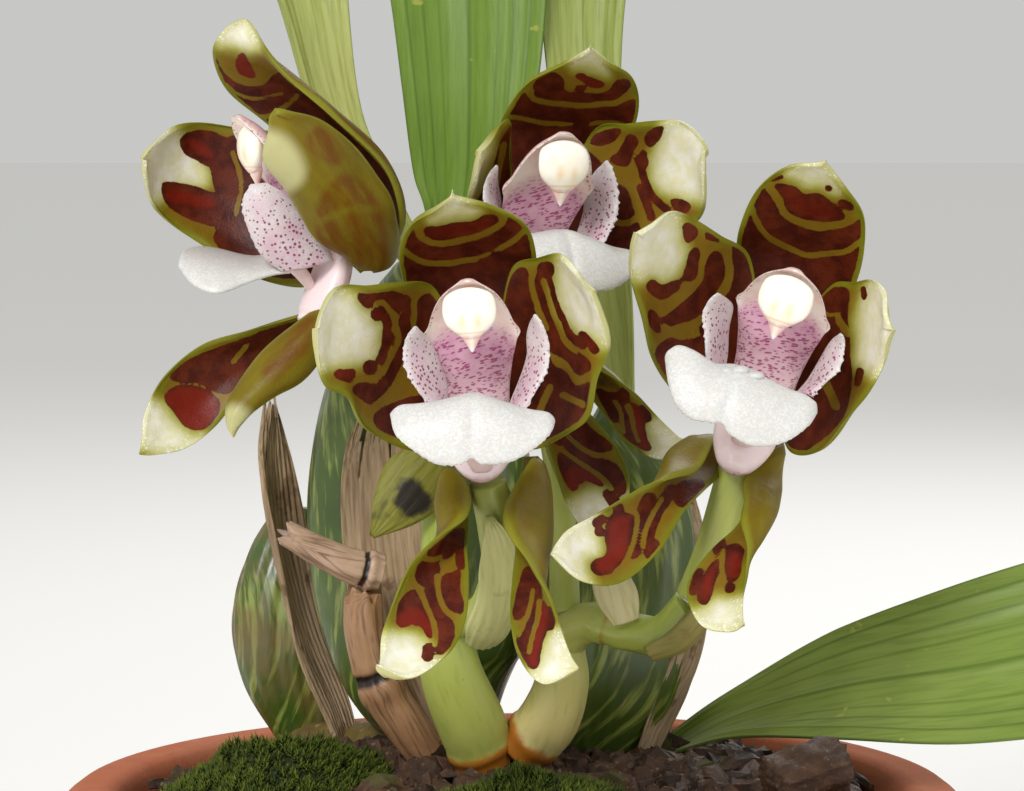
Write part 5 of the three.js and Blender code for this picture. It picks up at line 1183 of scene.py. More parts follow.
     "pale": [[-12,4, -7.6,7, -5.6,9, -6.6,12, -9,15, -13,16]]}),
    ("left", "petal_left"): (
     [[-2,-4,2, -1,0,2.4, 0,3,2], [-7,-5.4,5, -6,2.5,7, -4,10,6], [-13.6,-3.6,7, -12,5,10, -9,14.2,8],
      [-19.4,0.1,8, -17.4,7.4,10.6, -14.6,15.1,9], [-23,2.6,7, -21.4,9,9.4, -19.6,15.8,8], [-25.6,5.4,5,
      -24.6,10,6.6, -23,15.3,5.6], [-26.8,8.6,3, -26.2,11,3.6, -25.4,13.2,3], [-27,11,2, -27,11.05,2,
      -26.9,11.1,2]], {
     "dark": [[-22.4,14.2, -19.8,15, -16,14, -15,10.6, -18,9.8, -20,11, -22,12], [-24.9,8.2, -22.6,8,
      -20.4,7.6, -18.4,6.8, -15,6, -14.6,2, -18,2.4, -21.4,3.4, -24.2,5.4], [-17.8,12, -15.8,14.6, -4,14,
      0,0, -6,-5, -14,-3, -18.6,0.6, -16.4,2.8, -17.4,6.4, -18.2,9]],
     "lines": [([-15.4,12, -14,8, -15,4], 0.2)],
     "pale": [[-28,17, -21.6,15, -19.5,11.8, -18.2,9.2, -18.7,7.1, -22.7,7.6, -24.4,5.2, -28,5]],
     "red": [([-23.4,6.4, -18.5,5.4], 0.8), ([-20.6,13.2, -18.4,11.8], 0.6)]}),
    ("left", "sepal_left"): (
     [[-1,-9,3, -1.6,-7.6,2, -2,-6.4,1], [-5,-12.4,4, -6,-10.6,3.4, -6.6,-9,1], [-10.6,-15.4,4,
      -11.8,-13.6,4, -13,-10.9,1], [-14.6,-19.4,3, -16.8,-16.2,3.6, -19.3,-12.8,1], [-17.6,-23.2,2,
      -20.8,-19.8,2.8, -24.2,-17,0], [-21.4,-26,0, -23.8,-23.4,0.6, -26.7,-21.6,-1], [-25.4,-26.9,-2,
      -26.2,-25.8,-1.8, -27,-24.6,-2], [-27.4,-26.9,-3, -27.35,-26.85,-3, -27.3,-26.8,-3]], {
     "dark": [[-24.3,-19.6, -22.7,-18.2, -20,-18.2, -17.4,-19.8, -17.2,-21.4, -19,-23.5, -21.1,-23.5,
      -22.7,-21.4], [-23.8,-16.7, -19.5,-14, -12.1,-11.4, -9,-10.6, -4,-9, -8,-13, -13.2,-15.6, -15.3,-18.8,
      -17.4,-18.8, -19.5,-17.2, -22.2,-17.4]],
     "lines": [([-15.4,-15, -13.6,-12.6], 0.15)],
     "pale": [[-29,-19, -25,-19.4, -23,-22, -21,-24.2, -18.6,-24.2, -17,-27, -28,-28]],
     "red": [[-24.4,-19.6, -22.7,-18, -20,-18, -17.2,-19.8, -17,-21.4, -19,-23.7, -21.1,-23.7,
      -22.9,-21.4]]}),
    ("left", "sepal_right"): (
     [[-3,-7,-2, -1.6,-8,-3, -0.6,-9.6,-2], [-7,-9.8,-4, -5,-11.4,-6, -3.4,-13.4,-4], [-10.6,-12.8,-5,
      -8.2,-15,-7.6, -6.6,-17.4,-6], [-13.6,-16.4,-6, -11.4,-18,-8.6, -10,-19.4,-7.5], [-16,-20,-7.5,
      -14.4,-20.8,-9.2, -12.8,-21.4,-8.5], [-16.2,-22.6,-8.5, -15.4,-23,-9.2, -14.4,-23.2,-9],
      [-15.35,-24.7,-9.5, -15.3,-24.7,-9.5, -15.25,-24.7,-9.5]], {
     "margin": 0.4,
     "dark": [[-4,-9, -8,-12, -12,-18, -8,-16]],
     "pale": [[-17,-20.4, -12,-21, -13,-26, -18,-26]]}),
    ("upper", "petal_right"): (
     [[4.5,4,0.5, 5,-1,0.8, 5.5,-5,0.5], [7.5,11.5,-1, 9.5,3.5,0, 10.5,-3,-1], [10.6,17,-3, 13.6,8.5,-1.4,
      14.6,-0.8,-3.6], [14.6,17.6,-5, 17,9.8,-3.2, 18,1.8,-6], [18.4,18,-7.6, 20.2,11,-5.8, 21.2,3.4,-8],
      [21.5,17.9,-9.6, 22.8,12.4,-8.4, 24.1,5.8,-9.8], [23.8,15.8,-11.2, 24.1,13.6,-10.8, 24.6,10.4,-11],
      [24.7,14.15,-12, 24.7,14.1,-12, 24.7,14.05,-12]], {
     "dark": [[17,16, 17.7,16.8, 18.7,17.4, 19.5,17.5, 19.4,16.7, 18.8,15.5, 17.8,14.6, 17.1,15.1],
      [14.9,16.5, 16,16, 16.2,15.2, 15.4,14, 15,12.1, 13.6,12.3, 12.1,13, 13.6,13.8, 14.3,15.2], [9.4,15.5,
      11.1,16.5, 13.6,17.1, 14,16.7, 13.1,15.5, 11.6,14.8, 10.1,15], ([16.9,13.8, 16.6,12.8, 16.7,11.1,
      17.5,9.2, 18.4,7.7, 19.9,6.5], 0.42), ([16.6,12.9, 16.7,12.7], 0.8), [20.3,7.9, 21.8,7.8, 23.1,7.1,
      22.6,6.2, 21.4,5.9, 20.6,7], ([16.5,9.4, 17.1,7.9, 17.9,5.5], 0.45), [5,14, 9,14.6, 11.4,12.6,
      12.6,10, 14.8,9.4, 15.6,6, 17,3, 15,-1, 8,-4, 4,0]],
     "lines": [([11.4,11.6, 13.4,10.4, 15.8,10.8], 0.25), ([13,5, 14.6,4.6, 16,5.4], 0.3)],
     "pale": [[19.4,19, 18.8,16, 17.9,14, 17.3,11.6, 18,9.6, 19.4,8.3, 23,7.4, 26,7, 26,19]],
     "red": [([18.6,10.2, 18.8,10], 0.3)]}),
}
# Tepal flesh: the three mark fields, made ragged by noise, choose between velvety maroon, ochre with a green
# margin, and a cream with crystal grains drawn coarse enough to show, a few of them painted near white as
# glints of light; the outer face is olive with brown.
TEPAL_CELL = 0.24
tepal, shader = new_material("mottled_tepal_flesh", Specular_IOR_Level=0.22, Coat_Weight=0.04,
                             Coat_Roughness=0.3)
uneven = node(tepal, "Math", grain(tepal, 0.9, 4), 0.5, operation="SUBTRACT")
ragged = node(tepal, "Math", "dark", node(tepal, "Math", uneven, 0.34), operation="ADD")
dark = node(tepal, "MapRange", ragged, -0.05, 0.07)
uneven = node(tepal, "Math", grain(tepal, 2.6, 4), 0.5, operation="SUBTRACT")
mottle = node(tepal, "Math", uneven, 2.2)
near_pale = node(tepal, "Math", "pale", node(tepal, "Math", mottle, 0.4), operation="ADD")
pale = node(tepal, "MapRange", near_pale, -0.5, 0.9)
green = node(tepal, "MapRange", node(tepal, "Math", "rim", mottle, operation="ADD"), 0.0, 1.7, 1, 0)
ochre = node(tepal, "Mix", grain(tepal, 3.6, 3), "#7c5c12", "#93751e")
ochre = node(tepal, "Mix", green, ochre, "#80801a")
ochre = node(tepal, "Mix", node(tepal, "MapRange", near_pale, -1.3, 0.2), ochre, "#a9a53e")
cream = node(tepal, "Mix", grain(tepal, 1.6, 4, (0.3, 0.7)), "#f4efc8", "#fffdf0")
cream = node(tepal, "Mix", node(tepal, "MapRange", near_pale, 0.1, 2.4, 0.75, 0), cream, "#c9c666")
cream = node(tepal, "Mix", node(tepal, "Math", green, 0.3), cream, "#d6d896")
# Painted highlight: a few crystal cells, more of them near the rim, are lightened to near white as glints of
# light; the cell bumps below catch real light as well.
glint_cell_tones = node(tepal, "TexVoronoi", node(tepal, "TexCoord"), 1000 / TEPAL_CELL, out=1)
bright = node(tepal, "MapRange", node(tepal, "SeparateColor", glint_cell_tones), 0.84, 0.9)
painted_tepal_glints = node(tepal, "Math", bright, node(tepal, "MapRange", "rim", 0.3, 2.4, 0.9, 0.12))
cream = node(tepal, "Mix", painted_tepal_glints, cream, "#fffdf0")
maroon = node(tepal, "Mix", grain(tepal, 2.4, 5, (0.36, 0.66)), "#49150b", "#6c2a14")
maroon = node(tepal, "Mix", grain(tepal, 0.16, 2, (0.5, 0.7, 0, 0.35)), maroon, "#7a3218")
maroon = node(tepal, "Mix", node(tepal, "MapRange", "red", -0.4, 0.5, 0, 0.75), maroon, "#86200f")
maroon = node(tepal, "Mix", node(tepal, "MapRange", "deep", 0.0, 1.0, 0, 0.4), maroon, "#3a1707")
inner = node(tepal, "Mix", dark, node(tepal, "Mix", pale, ochre, cream), maroon)
outer = node(tepal, "Mix", grain(tepal, 4.5, 4), "#736d10", "#96901f")
shown = node(tepal, "Math", "brown", node(tepal, "MapRange", "dark", -0.6, 0.5, 0.45, 0.95))
streaks = grain(tepal, 1.4, 3, (0.3, 0.6, 0.5, 1), fibre_place(tepal, 0.0002))
outer = node(tepal, "Mix", node(tepal, "Math", shown, streaks), outer, "#76440a")
outer = node(tepal, "Mix", node(tepal, "MapRange", "rim", 0.2, 1.2, 0.8, 0), outer, "#8f8f28")
bleached = node(tepal, "Math", node(tepal, "MapRange", "pale", -0.8, 1.0), 0.8)
outer = node(tepal, "Mix", bleached, outer, "#d8d59c")
flesh = node(tepal, "Mix", node(tepal, "MapRange", "face", -0.5, 0.1), outer, inner)
cells = node(tepal, "TexVoronoi", node(tepal, "TexCoord"), 1000 / TEPAL_CELL)
relief = node(tepal, "Bump", grain(tepal, 1.3, 4), 0.00014, 0.6, node(tepal, "Bump", cells, 0.000025, 0.9))
wire(tepal, shader, Base_Color=flesh, Normal=relief,
     Roughness=node(tepal, "MapRange", pale, 0, 1, 0.42, 0.3))
let_through(tepal, shader, flesh, 0.2)


def add_tepal(flower, organ, middle, fields):
    """One tepal from the grid of its middle layer in the frame's mm: fleshy, round at the rim, gently waved
    near it by a sine of the length."""
    rim, across, length = rim_distance(middle)
    out = facing(middle)
    wavy = 0.4 if organ.startswith("petal") else 0.22
    near_rim = np.clip(1 - rim / 3, 0, 1) * np.clip(rim / 0.4, 0, 1)
    wave = wavy * near_rim * np.sin(length / 2.3 + np.sign(across))
    wave = wave + 0.05 * np.sin(across * 1.3) * np.clip(rim - 0.5, 0, 1)
    depth = rounded(rim, TEPAL_RIM, TEPAL_HALF) * np.clip(length / 1.5, 0, 1)
    middle = middle + out * (wave - 0.55 * depth)[..., None]
    add_sheet(f"{flower}_{organ}", middle, out, depth, tepal, "tepal", rim=np.minimum(rim, MARK_LIMIT),
              across=across, along=length, **fields)


rows, columns = TEPAL_GRID
t, v = 1 - (1 - np.linspace(0, 1, rows)) ** 1.25, across_steps(columns)
grids = {}
for (flower, organ), (rails, marks) in TEPALS.items():
    spots = three_rails(rails, t, v)
    middle = seen(flower, spots)
    lateral = organ in LATERALS
    grown = LATERAL_GROWN if lateral else OTHERS_GROWN
    fields = marks_of(spots[..., 0], spots[..., 1], rim_distance(middle)[0], marks, grown)
    shows_red = lateral or flower == "left"
    fields["red"] = np.minimum(fields["red"], MARK_LIMIT if shows_red else 0.0)
    fields["deep"] = np.clip(0.75 - t, 0, 1)[:, None]
    fields["brown"] = 0.95 if shows_red else np.clip(0.9 - t, 0.2, 0.8)[:, None]
    grids[flower, organ] = (middle, fields)
for organ in LATERALS:
    middle, fields = grids["front", organ]
    grids["upper", organ] = (carried(middle, organ, "front", "upper"), fields)
for (flower, organ), (middle, fields) in grids.items():
    add_tepal(flower, organ, middle, fields)

# Columns
# The column of each flower, stamens and style grown into one: a broad pink tongue that arches forward
# from its foot, with a point at either side, and ends in a thin pale hood over the anther.
# Stations: x, y, z, half width, back depth, front depth (minus: the front face is hollowed).
COLUMN_STATIONS = [(0,-6.6,-10, 1.2,0.9,0.9), (0,-5.4,-9, 2.8,1.9,1.8), (0,-3.8,-6.6, 4,2.2,2.3),
    (0,-2.8,-1.8, 4,2.4,1.7), (0,-5,2, 4.2,2.6,1.2), (0,-8,5.4, 4.8,2.7,0.5), (0,-10.9,8.6, 5.5,2.6,-0.9),
    (0,-13.4,11.5, 4.9,2.5,-1.8), (0,-15.4,14, 3.5,2,-1.5), (0,-16.7,15.9, 1.1,0.9,-0.3)]
COLUMN_ROWS, COLUMN_SIDES = 84, 64
# Column skin: magenta pink with rows of darker dashes, paler low down, the hood pale with a speckled rim.
column, shader = new_material("speckled_column_skin", Roughness=0.34, Specular_IOR_Level=0.5,
                              Coat_Weight=0.15, Coat_Roughness=0.3, Subsurface_Weight=0.15,
                              Subsurface_Scale=0.0015)
hood = node(column, "Math", "t", node(column, "Math", "edge", 0.12), operation="ADD")
hood = node(column, "MapRange", hood, 0.65, 0.76)
slant = node(column, "Math", node(column, "Math", "along", 0.0011), node(column, "Math", "around", 0.0003),
             operation="ADD")
dash_place = node(column, "CombineXYZ", node(column, "Math", "around", 0.0007), slant)
dash = node(column, "MapRange", node(column, "TexVoronoi", dash_place, 1000 / 0.4, 0.85), 0.34, 0.48, 1, 0)
dash = node(column, "Math", dash, grain(column, 1.0, 3, (0.34, 0.46, 0.1, 1)))
speck = node(column, "MapRange", node(column, "TexVoronoi", dash_place, 1000 / 0.6), 0.2, 0.36, 1, 0)
speck = node(column, "Math", speck, node(column, "MapRange", "edge", 0.45, 0.85))
pink = node(column, "Mix", grain(column, 2.6, 4, (0.35, 0.65)), "#dcaec2", "#cf97b3")
pink = node(column, "Mix", node(column, "MapRange", "t", 0.26, 0.66, 0.95, 0), pink, "#f3dfe0")
dashed = node(column, "Math", dash, node(column, "MapRange", "t", 0.3, 0.44, 0, 0.85))
pink = node(column, "Mix", dashed, pink, "#9a2468")
flesh_pink = node(column, "Mix", grain(column, 3, 3, (0.4, 0.6)), "#fdf1e8", "#f7dfd6")
flesh_pink = node(column, "Mix", node(column, "Math", speck, 0.85), flesh_pink, "#8e2a58")
pink = node(column, "Mix", hood, pink, flesh_pink)
back = node(column, "Mix", grain(column, 1.2, 3, (0.54, 0.66, 0, 0.6)), "#dcb6b4", "#a2466c")
wire(column, shader, Base_Color=node(column, "Mix", "back", pink, back),
     Normal=node(column, "Bump", grain(column, 0.3, 3), 0.00005, 0.7))
rings, t, angle, length = stalk([s[:5] for s in COLUMN_STATIONS], COLUMN_ROWS, COLUMN_SIDES)
s = along(COLUMN_STATIONS, t)
deep = unit(np.cross(ways_along(COLUMN_STATIONS, t), (1, 0, 0)))
wing = 0.55 * hump(s[:, 2], 9.2, 0.7)
in_front = np.sin(angle) < 0
reach = np.where(in_front, -s[:, 5, None], s[:, 4, None])
reach = reach * np.abs(np.sin(angle)) ** np.where(in_front, 0.9, 1.0)
groove = np.where(in_front, 0.25 * hump(np.cos(angle), 0, 0.3), 0) * hump(s[:, 2, None], 3, 3.5)
rings = s[:, None, :3] + deep[:, None] * (reach + groove)[..., None]
rings[..., 0] += (s[:, 3] + wing)[:, None] * np.cos(angle)
edge = np.abs(np.cos(angle)) ** 3 * np.clip((t[:, None] - 0.55) * 6, 0, 1)
for flower, f in FLOWERS.items():
    own = rings.copy()
    own[..., 2] -= f.get("chin", 0) * np.clip((-own[..., 2] - 3) / 7, 0, 1)
    own[..., 2] -= f.get("crown", 0) * np.clip((own[..., 2] - 9) / 7, 0, 1)
    points, faces = closed_tube(placed(own @ turn(*f.get("column", (0, 0, 0))).T, flower))
    add_piece(f"{flower}_column", points, faces, column, "column",
              tube_fields(rings, t, angle, length, edge=edge, back=np.clip(np.sin(angle) * 3, 0, 1)))

# Anther caps
# Under each hood sits the anther cap, a smooth swollen lid of two lobes over the pollen: cream, lit
# through with amber, with a narrow tawny band below and a small pink beak.
ANTHER_STATIONS = [(0,-15.6,14.8, 1.2,0.6), (0,-15.9,14.55, 2.4,0.9), (0,-16.1,14, 2.95,1.1), (0,-16.3,13.2,
    3.15,1.2), (0,-16.3,12.3, 3.2,1.25), (0,-16.2,11.4, 3.05,1.25), (0,-16,10.7, 2.7,1.2), (0,-15.8,10.1,
    2.1,1.1), (0,-15.6,9.7, 1.6,1), (0,-15.4,9.4, 1.22,0.9), (0,-15.3,8.8, 0.92,0.75), (0,-15.2,8.1,
    0.55,0.45), (0,-15.1,7.3, 0.1,0.1)]
# Anther cap: polished cream with two amber patches where the pollen shows through, a tawny band, and a
# pink beak with a white tip.
cap, shader = new_material("polished_anther_cap", Roughness=0.3, Specular_IOR_Level=0.5, Coat_Weight=0.12,
                           Coat_Roughness=0.15, Subsurface_Weight=0.25, Subsurface_Scale=0.0015)
tone = node(cap, "Mix", grain(cap, 1.6, 3, (0.4, 0.65, 0, 0.4)), "#fff8ea", "#fdeccb")
for part, code in (("amber", "#eebb62"), ("band", "#d7974c"), ("beak", "#f4cfc4"), ("point", "#fff6f2")):
    tone = node(cap, "Mix", part, tone, code)
wire(cap, shader, Base_Color=tone)


def cap_shape(t, a):
    """An anther cap's share of its ellipse: a groove down the front between two lobes, a bit flattened."""
    groove = hump(np.cos(a), 0, 0.22) * (np.sin(a) < 0) * np.clip(1 - np.abs(t - 0.42) / 0.3, 0, 1)
    return 1 - 0.2 * groove + 0.03 * np.cos(2 * a)


rings, t, angle, length = stalk(ANTHER_STATIONS, 64, 48, cap_shape)
sideways, low = np.abs(rings[..., 0]), rings[..., 2]
amber = hump(sideways, 0.95, 0.45) * hump(low, 11.2, 0.9) * 0.5
band = hump(low, 9.75, 0.14) * 0.45
beak = np.clip((9.6 - low) / 0.4, 0, 1) * np.clip(sideways * 2.2, 0.35, 1)
point = np.clip((8 - low) / 0.4, 0, 1)
cap_fields = tube_fields(rings, t, angle, length, amber=amber, band=band, beak=beak, point=point)
for flower, f in FLOWERS.items():
    own = (rings + (0, f.get("sunk", 0), -f.get("crown", 0))) @ turn(*f.get("column", (0, 0, 0))).T
    add_piece(f"{flower}_anther_cap", *closed_tube(placed(own, flower)), cap, "anther", cap_fields)

# Lips
# The lip, a third petal: a channelled claw hinged on the column's foot, two toothed side lobes that
# stand up beside the column, and a broad white apron with a notch, finely toothed, with three bumps.
# The claw's stations are as the leaves', in the flower's own mm; the other sheets are rails as seen.
CLAW = [(0,-6.8,-8.4, 1.2, 0,0.8,0.6, 60), (0,-9,-6, 2.4, 0,0.8,0.6, 80), (0,-12.4,-3, 3.6, 0,0.6,0.8, 70),
    (0,-16,-0.9, 4.8, 0,0.3,0.9, 30)]
LIPS = {
    "front": {
        "apron": [[-10.5,-1.4,-17.5, -10.5,-1.6,-17.5, -10.4,-1.9,-17.5], [-9.4,-0.7,-17.5, -9.7,-2.4,-19,
         -10,-4.1,-19.5], [-7.4,-0.5,-17.5, -7.6,-2.6,-20, -8.2,-5.9,-20.5], [-4.6,-0.2,-17,
         -4.6,-2.4,-20.8, -5.2,-7.8,-21], [-1.8,0.4,-16.5, -2,-1.8,-20.7, -2.3,-7.85,-21.4], [-0.7,0.6,-16,
         -0.7,-1.3,-20.2, -0.7,-7.1,-21.2], [0.6,0.5,-16.5, 0.6,-1.7,-20.7, 0.7,-7.85,-21.4], [3.4,-0.4,-17,
         3.6,-2.6,-20.8, 4.2,-7.5,-21], [6,-1.2,-17.5, 6.4,-3,-20, 7.4,-5.5,-20.5], [8.4,-1.5,-17.5,
         8.5,-2.6,-19, 9,-3.9,-19.5], [9.3,-2.2,-17.5, 9.3,-2.4,-17.5, 9.3,-2.7,-17.5]],
        "left": [[-5.4,-1.4,-14.5, -4.6,-1,-14.12, -3.8,-0.6,-11], [-7.4,1.2,-14.8, -5.8,1.6,-12.78,
         -3.9,2.2,-9.5], [-8.8,3.9,-14.8, -6.8,4.2,-12.78, -4.5,4.4,-9.9], [-9.1,6.2,-15, -7.4,6.3,-13.35,
         -5.4,6.6,-11.2], [-8.7,7.9,-15.6, -7.6,7.9,-14.5, -6.5,8,-13], [-7.7,9.1,-16, -7.6,9.1,-15.89,
         -7.4,9.05,-15.7]],
        "right": [[3.6,-1.6,-11, 4.6,-1.6,-14.12, 5.6,-1.8,-14.5], [5,2,-9.5, 6,1.8,-12.78, 7.4,1.6,-14.8],
         [6,5.4,-9.9, 7.2,4.6,-12.78, 8.5,4,-14.8], [6.1,7.8,-11.2, 7.4,7.2,-13.35, 8.8,6.8,-15],
         [6.5,9.7,-13, 7.3,9.2,-14.5, 8.1,9,-15.6], [7,10.6,-15.7, 7,10.6,-15.89, 7.1,10.5,-16]],
        "bumps": [(-2.5,-0.5,-17.9), (-0.6,0,-17.7), (1.4,-0.6,-17.9)]},
    "right": {
        "apron": [[-12,3.4,-17.5, -12.3,2.8,-17.5, -12.4,2,-17.5], [-10.8,3.8,-17.5, -11.4,1.4,-19,
         -12.1,-0.8,-19.5], [-8.8,3.1,-17.5, -9.8,0.2,-20, -11.2,-3.6,-20.5], [-6.4,1.6,-17,
         -7.4,-1.2,-20.6, -9.4,-5.3,-21], [-4.4,1.4,-16.6, -5.4,-1.4,-20.6, -6.9,-5.7,-21.2],
         [-3.4,1.2,-16.4, -4.4,-1.5,-20.4, -5.4,-5.9,-21], [-2.2,0.9,-16.6, -3,-2.2,-20.8, -4.3,-7.4,-21.4],
         [0.2,-0.3,-17, -0.4,-3.6,-20.8, -1.4,-8.8,-21], [2.8,-1.7,-17.5, 2.6,-4.2,-20, 2.2,-8.2,-20.4],
         [4.8,-2.3,-17.5, 5,-4.2,-19, 5.2,-6.2,-19.4], [6.2,-3.2,-17.5, 6.3,-3.8,-17.5, 6.2,-4.6,-17.5]],
        "left": [[-7.4,0.6,-14.5, -6.4,0.6,-14.12, -5.2,0.8,-11], [-7.6,3,-14.8, -6.3,3,-12.78,
         -4.9,3.2,-9.5], [-7.6,5.6,-14.8, -6.3,5.8,-12.78, -4.6,6,-9.9], [-7.9,7.8,-15, -6.2,8.2,-13.35,
         -4.1,8.6,-11.2], [-7.1,9.6,-15.6, -6,9.6,-14.5, -4.8,9.7,-13], [-6,10.4,-16, -5.9,10.4,-15.89,
         -5.8,10.4,-15.7]],
        "right": [[3.8,-2.2,-11, 4.8,-2.2,-14.12, 5.8,-2.6,-14.5], [5.2,-0.6,-9.5, 6.4,-0.6,-12.78,
         7.6,-0.6,-14.8], [6.4,1.6,-9.9, 7.6,1.2,-12.78, 9,0.7,-14.8], [7.6,3.8,-11.2, 8.6,3.2,-13.35,
         9.6,2.9,-15], [8.6,4.9,-13, 9.2,4.6,-14.5, 9.8,4.3,-15.6], [9.4,5.3,-15.7, 9.4,5.3,-15.89,
         9.5,5.2,-16]],
        "bumps": [(-5,0.7,-17.8), (-3.2,0.8,-17.8), (-1.4,0.1,-17.9)]},
    "left": {
        "apron": [[-8,-3.4,-5, -8,-2.6,-2, -8,-1.8,2], [-10,-3.8,-5, -10,-2.4,-2, -10,-1.4,3],
         [-13.4,-4.7,-6.5, -13,-2.6,-2, -13,-1.6,4.4], [-17.4,-6.2,-8, -17,-2.6,-3, -17,-0.8,6],
         [-20.6,-5,-6, -20.4,-2.2,-2.4, -20,-0.4,5], [-22.3,-2.8,-2, -22.3,-1.9,-1, -21.9,-0.8,1.5]],
        "left": [[-9,-3.4,-5, -6,-3,-6, -2.4,-2,-5], [-12.2,-0.6,-6, -8.6,0.4,-7.5, -4,1.4,-6],
         [-13.8,3.2,-7, -10.4,3.8,-8.5, -6.6,4.6,-7], [-14,6,-7.5, -11.8,6.4,-8.5, -9,6.8,-7.5],
         [-13,7.9,-8, -12,8,-8, -11,8.1,-8]],
        "right": [[-9,-2.4,3, -7,-2,4, -4,-1,3], [-11.6,0,4, -9,0.4,5, -6,1,4], [-12.6,3.4,4, -10.6,3.8,5,
         -8,4,4], [-12,6,4, -11,6,4, -10,6,4]],
        "bumps": [],
        "claw": [(0,-5.2,-6, 0.8, 0,0.8,0.6, 60), (0,-7.4,-3.6, 2, 0,0.8,0.6, 80), (0,-10.8,-0.6, 3.2,
         0,0.6,0.8, 70)]},
}
# Lip tissue: white, of tiny crystal cells that glitter, their glints partly real from the cell bumps and
# partly painted as a lighter or duller white in each cell, with magenta spots and a lilac flush low on the
# side lobes.
# The cells are drawn coarser than they are, so that they show.
LIP_CELL = 0.22
SPOT_PITCH = 0.58
KNOB_RADII = (1.15, 1.4, 0.6)
lip, shader = new_material("crystalline_white_lip", Roughness=0.3, Specular_IOR_Level=0.5,
                           Subsurface_Weight=0.12, Subsurface_Scale=0.0012)
cells = node(lip, "TexVoronoi", node(lip, "TexCoord"), 1000 / LIP_CELL)
# Painted highlight: each crystal cell gets a random lighter or duller white, standing in for light glinting
# off the cells.
painted_lip_glints = node(lip, "SeparateColor", node(lip, "TexVoronoi", node(lip, "TexCoord"), 1000 / LIP_CELL, out=1))
white = node(lip, "Mix", node(lip, "MapRange", painted_lip_glints, 0.3, 0.95), "#e3e2df", "#f1f0ed")
white = node(lip, "Mix", grain(lip, 2.4, 4, (0.45, 0.75, 0, 0.3)), white, "#ded9d4")
flush = node(lip, "Math", "spotting", grain(lip, 2.6, 3, (0.3, 0.7, 0.4, 0.9)))
white = node(lip, "Mix", flush, white, "#e0bccb")
white = node(lip, "Mix", node(lip, "MapRange", "spotting", -0.2, -0.9), white, "#f3d9d6")
spot_size = node(lip, "Math", node(lip, "Math", "spotting", 0.26), 0.08, operation="ADD")
from_spot = node(lip, "TexVoronoi", node(lip, "TexCoord"), 1000 / SPOT_PITCH, 0.9)
uneven = node(lip, "Math", node(lip, "Math", grain(lip, 0.4, 2), 0.5, operation="SUBTRACT"), 0.25)
from_spot = node(lip, "Math", from_spot, uneven, operation="ADD")
spots = node(lip, "MapRange", node(lip, "Math", spot_size, from_spot, operation="SUBTRACT"), -0.05, 0.05)
spots = node(lip, "Math", spots, node(lip, "MapRange", "spotting", 0.2, 0.45))
white = node(lip, "Mix", node(lip, "Math", spots, 0.9), white, "#93204f")
relief = node(lip, "Bump", cells, 0.00004, 1.0, node(lip, "Bump", grain(lip, 1.4, 3), 0.00016, 0.5))
wire(lip, shader, Base_Color=white, Normal=relief)
let_through(lip, shader, white, 0.2)


def toothed(middle, teeth, pitch, edges, thick, spotting):
    """A closed sheet with toothed edges: at the edges named (-1 or 1 across) the middle layer is drawn out
    by sharp teeth of that pitch, which fade inwards."""
    rim, _, length = rim_distance(middle)
    out = facing(middle)
    v = np.linspace(-1, 1, middle.shape[1])[None]
    saw = np.abs((length / pitch + 0.3 * np.sin(length * 1.7)) % 1 - 0.5) * 2 - 0.5
    size = 0.7 + 0.5 * np.sin(length * 2.3) * np.sin(length * 0.9 + 1)
    for edge in edges:
        pull = unit(np.gradient(middle, axis=1)) * edge
        middle = middle + pull * (teeth * saw * size * np.clip(edge * v, 0, 1) ** 8)[..., None]
    middle = middle + out * (0.18 * np.sin(length / 1.3) * np.abs(v) ** 4)[..., None]
    points, faces, both = closed_sheet(middle, out, rounded(rim, 0.9, thick))
    return points, faces, {"spotting": both(spotting)}


def knob(centre):
    """A small closed bump: an ellipsoid in rings from its foot to its top."""
    lat = np.linspace(-1.45, 1.45, 12)[:, None]
    rings = np.cos(lat)[..., None] * np.append(circle(1.0, turns_round(20)), np.zeros((20, 1)), 1)
    rings[..., 2] = np.sin(lat)
    points, faces = closed_tube(np.array(centre) + rings * KNOB_RADII)
    return points, faces, {"spotting": np.zeros(len(points))}


KNOB_RADII = (1.15, 1.4, 0.6)
APRON_GRID, LOBE_GRID, CLAW_GRID = (110, 27), (60, 21), (24, 17)
APRON_TEETH, LOBE_TEETH = (0.3, 0.7), (0.62, 0.85)  # how far they stand out, and their pitch
lip_shells = {}
for flower, rails in LIPS.items():
    t, v = np.linspace(0, 1, APRON_GRID[0]), across_steps(APRON_GRID[1])
    apron = seen(flower, three_rails(rails["apron"], t, v))
    shells = [toothed(apron, *APRON_TEETH, (1,), 0.42, 0.0)]
    for lobe, outer_edge in (("left", -1), ("right", 1)):
        t, v = np.linspace(0, 1, LOBE_GRID[0]), across_steps(LOBE_GRID[1])
        spotting = np.clip(1.25 - t[:, None] * 0.95, 0, 1) * np.clip(1.15 - 0.75 * v ** 2, 0, 1)
        sheet = seen(flower, three_rails(rails[lobe], t, v))
        shells.append(toothed(sheet, *LOBE_TEETH, (outer_edge,), 0.3, spotting))
    claw = blade(rails.get("claw", CLAW), np.linspace(0, 1, CLAW_GRID[0]), across_steps(CLAW_GRID[1]))[0]
    shells.append(toothed(placed(claw, flower), 0.0, 1.0, (), 0.5, -1.0))
    shells += [knob(seen(flower, np.array(spot))) for spot in rails["bumps"]]
    lip_shells[flower] = shells
lip_shells["upper"] = [(carried(points, "lip", "front", "upper"), faces, fields)
                       for points, faces, fields in lip_shells["front"]]
for flower, shells in lip_shells.items():
    points, faces, fields = joined(shells)
    add_piece(f"{flower}_lip", points, faces, lip, "lip", fields)

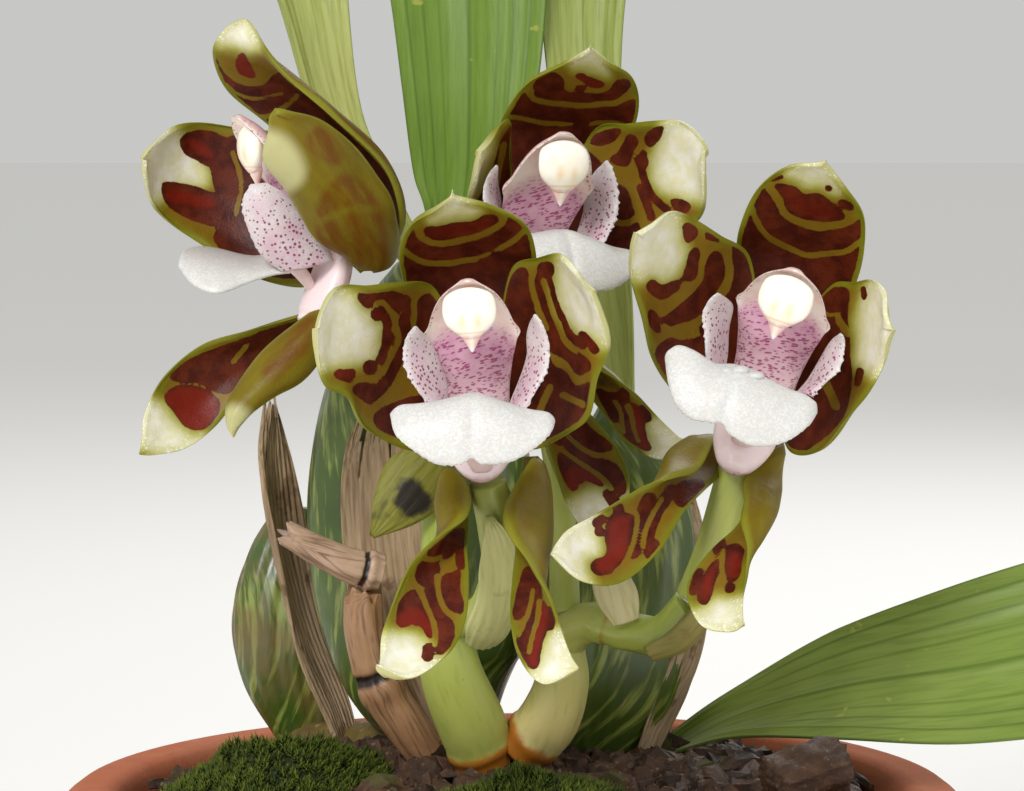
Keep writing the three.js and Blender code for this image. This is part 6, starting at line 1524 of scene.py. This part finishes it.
# Floor, light and camera
# Not part of the plant: a plain pale floor under the pot, one large soft lamp high at the front left,
# a weaker one at the right, one from behind, and the photograph's own view of the flowers.
FLOOR_REACH = 6.0
LAMP_AIM = mathutils.Vector((0, 0, 0.13))
# Each lamp's place and size in metres, and its power in watts.
LAMPS = {
    "key": ((-0.42, -0.95, 0.8), 0.34, 10.0),
    "fill": ((0.9, -0.7, 0.45), 0.7, 1.5),
    "rim": ((0.35, 0.9, 0.8), 0.6, 4.0),
}
floor_mesh = bpy.data.meshes.new("floor")
corners = [(x * FLOOR_REACH, y * FLOOR_REACH, 0) for x, y in ((-1, -1), (1, -1), (1, 1), (-1, 1))]
floor_mesh.from_pydata(corners, [], [(0, 1, 2, 3)])
floor = bpy.data.objects.new("floor", floor_mesh)
bpy.context.scene.collection.objects.link(floor)
# Floor: matt pale paper, so that nothing takes the eye from the plant.
floor_mesh.materials.append(new_material("plain_pale_floor", Base_Color=paint("#f9f8f5"), Roughness=0.9)[0])
floor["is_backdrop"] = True

world = bpy.data.worlds.new("soft_room_light")
world.use_nodes = True
sky = world.node_tree.nodes["Background"].inputs
sky["Color"].default_value, sky["Strength"].default_value = paint("#e4e4e2"), 0.74
bpy.context.scene.world = world
for name, (where, size, watts) in LAMPS.items():
    light = bpy.data.lights.new(name, "AREA")
    light.size, light.energy = size, watts
    lamp = bpy.data.objects.new(name, light)
    lamp.location = where
    lamp.rotation_euler = (LAMP_AIM - mathutils.Vector(where)).to_track_quat("-Z", "Y").to_euler()
    bpy.context.scene.collection.objects.link(lamp)

lens = bpy.data.cameras.new("camera")
lens.sensor_width, lens.lens = 36.0, 135.49
camera = bpy.data.objects.new("camera", lens)
camera.location = EYE / 1000
camera.rotation_euler = (math.pi / 2 - LEVEL, 0, 0)
bpy.context.scene.collection.objects.link(camera)
bpy.context.scene.camera = camera
bpy.context.scene.view_settings.view_transform = "Standard"

# Size
# The CAD's box and the finished model's box, kept side by side in metres.
low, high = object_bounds()
{"cad": [list(cad_low), list(cad_high)], "visual": [list(low), list(high)]}
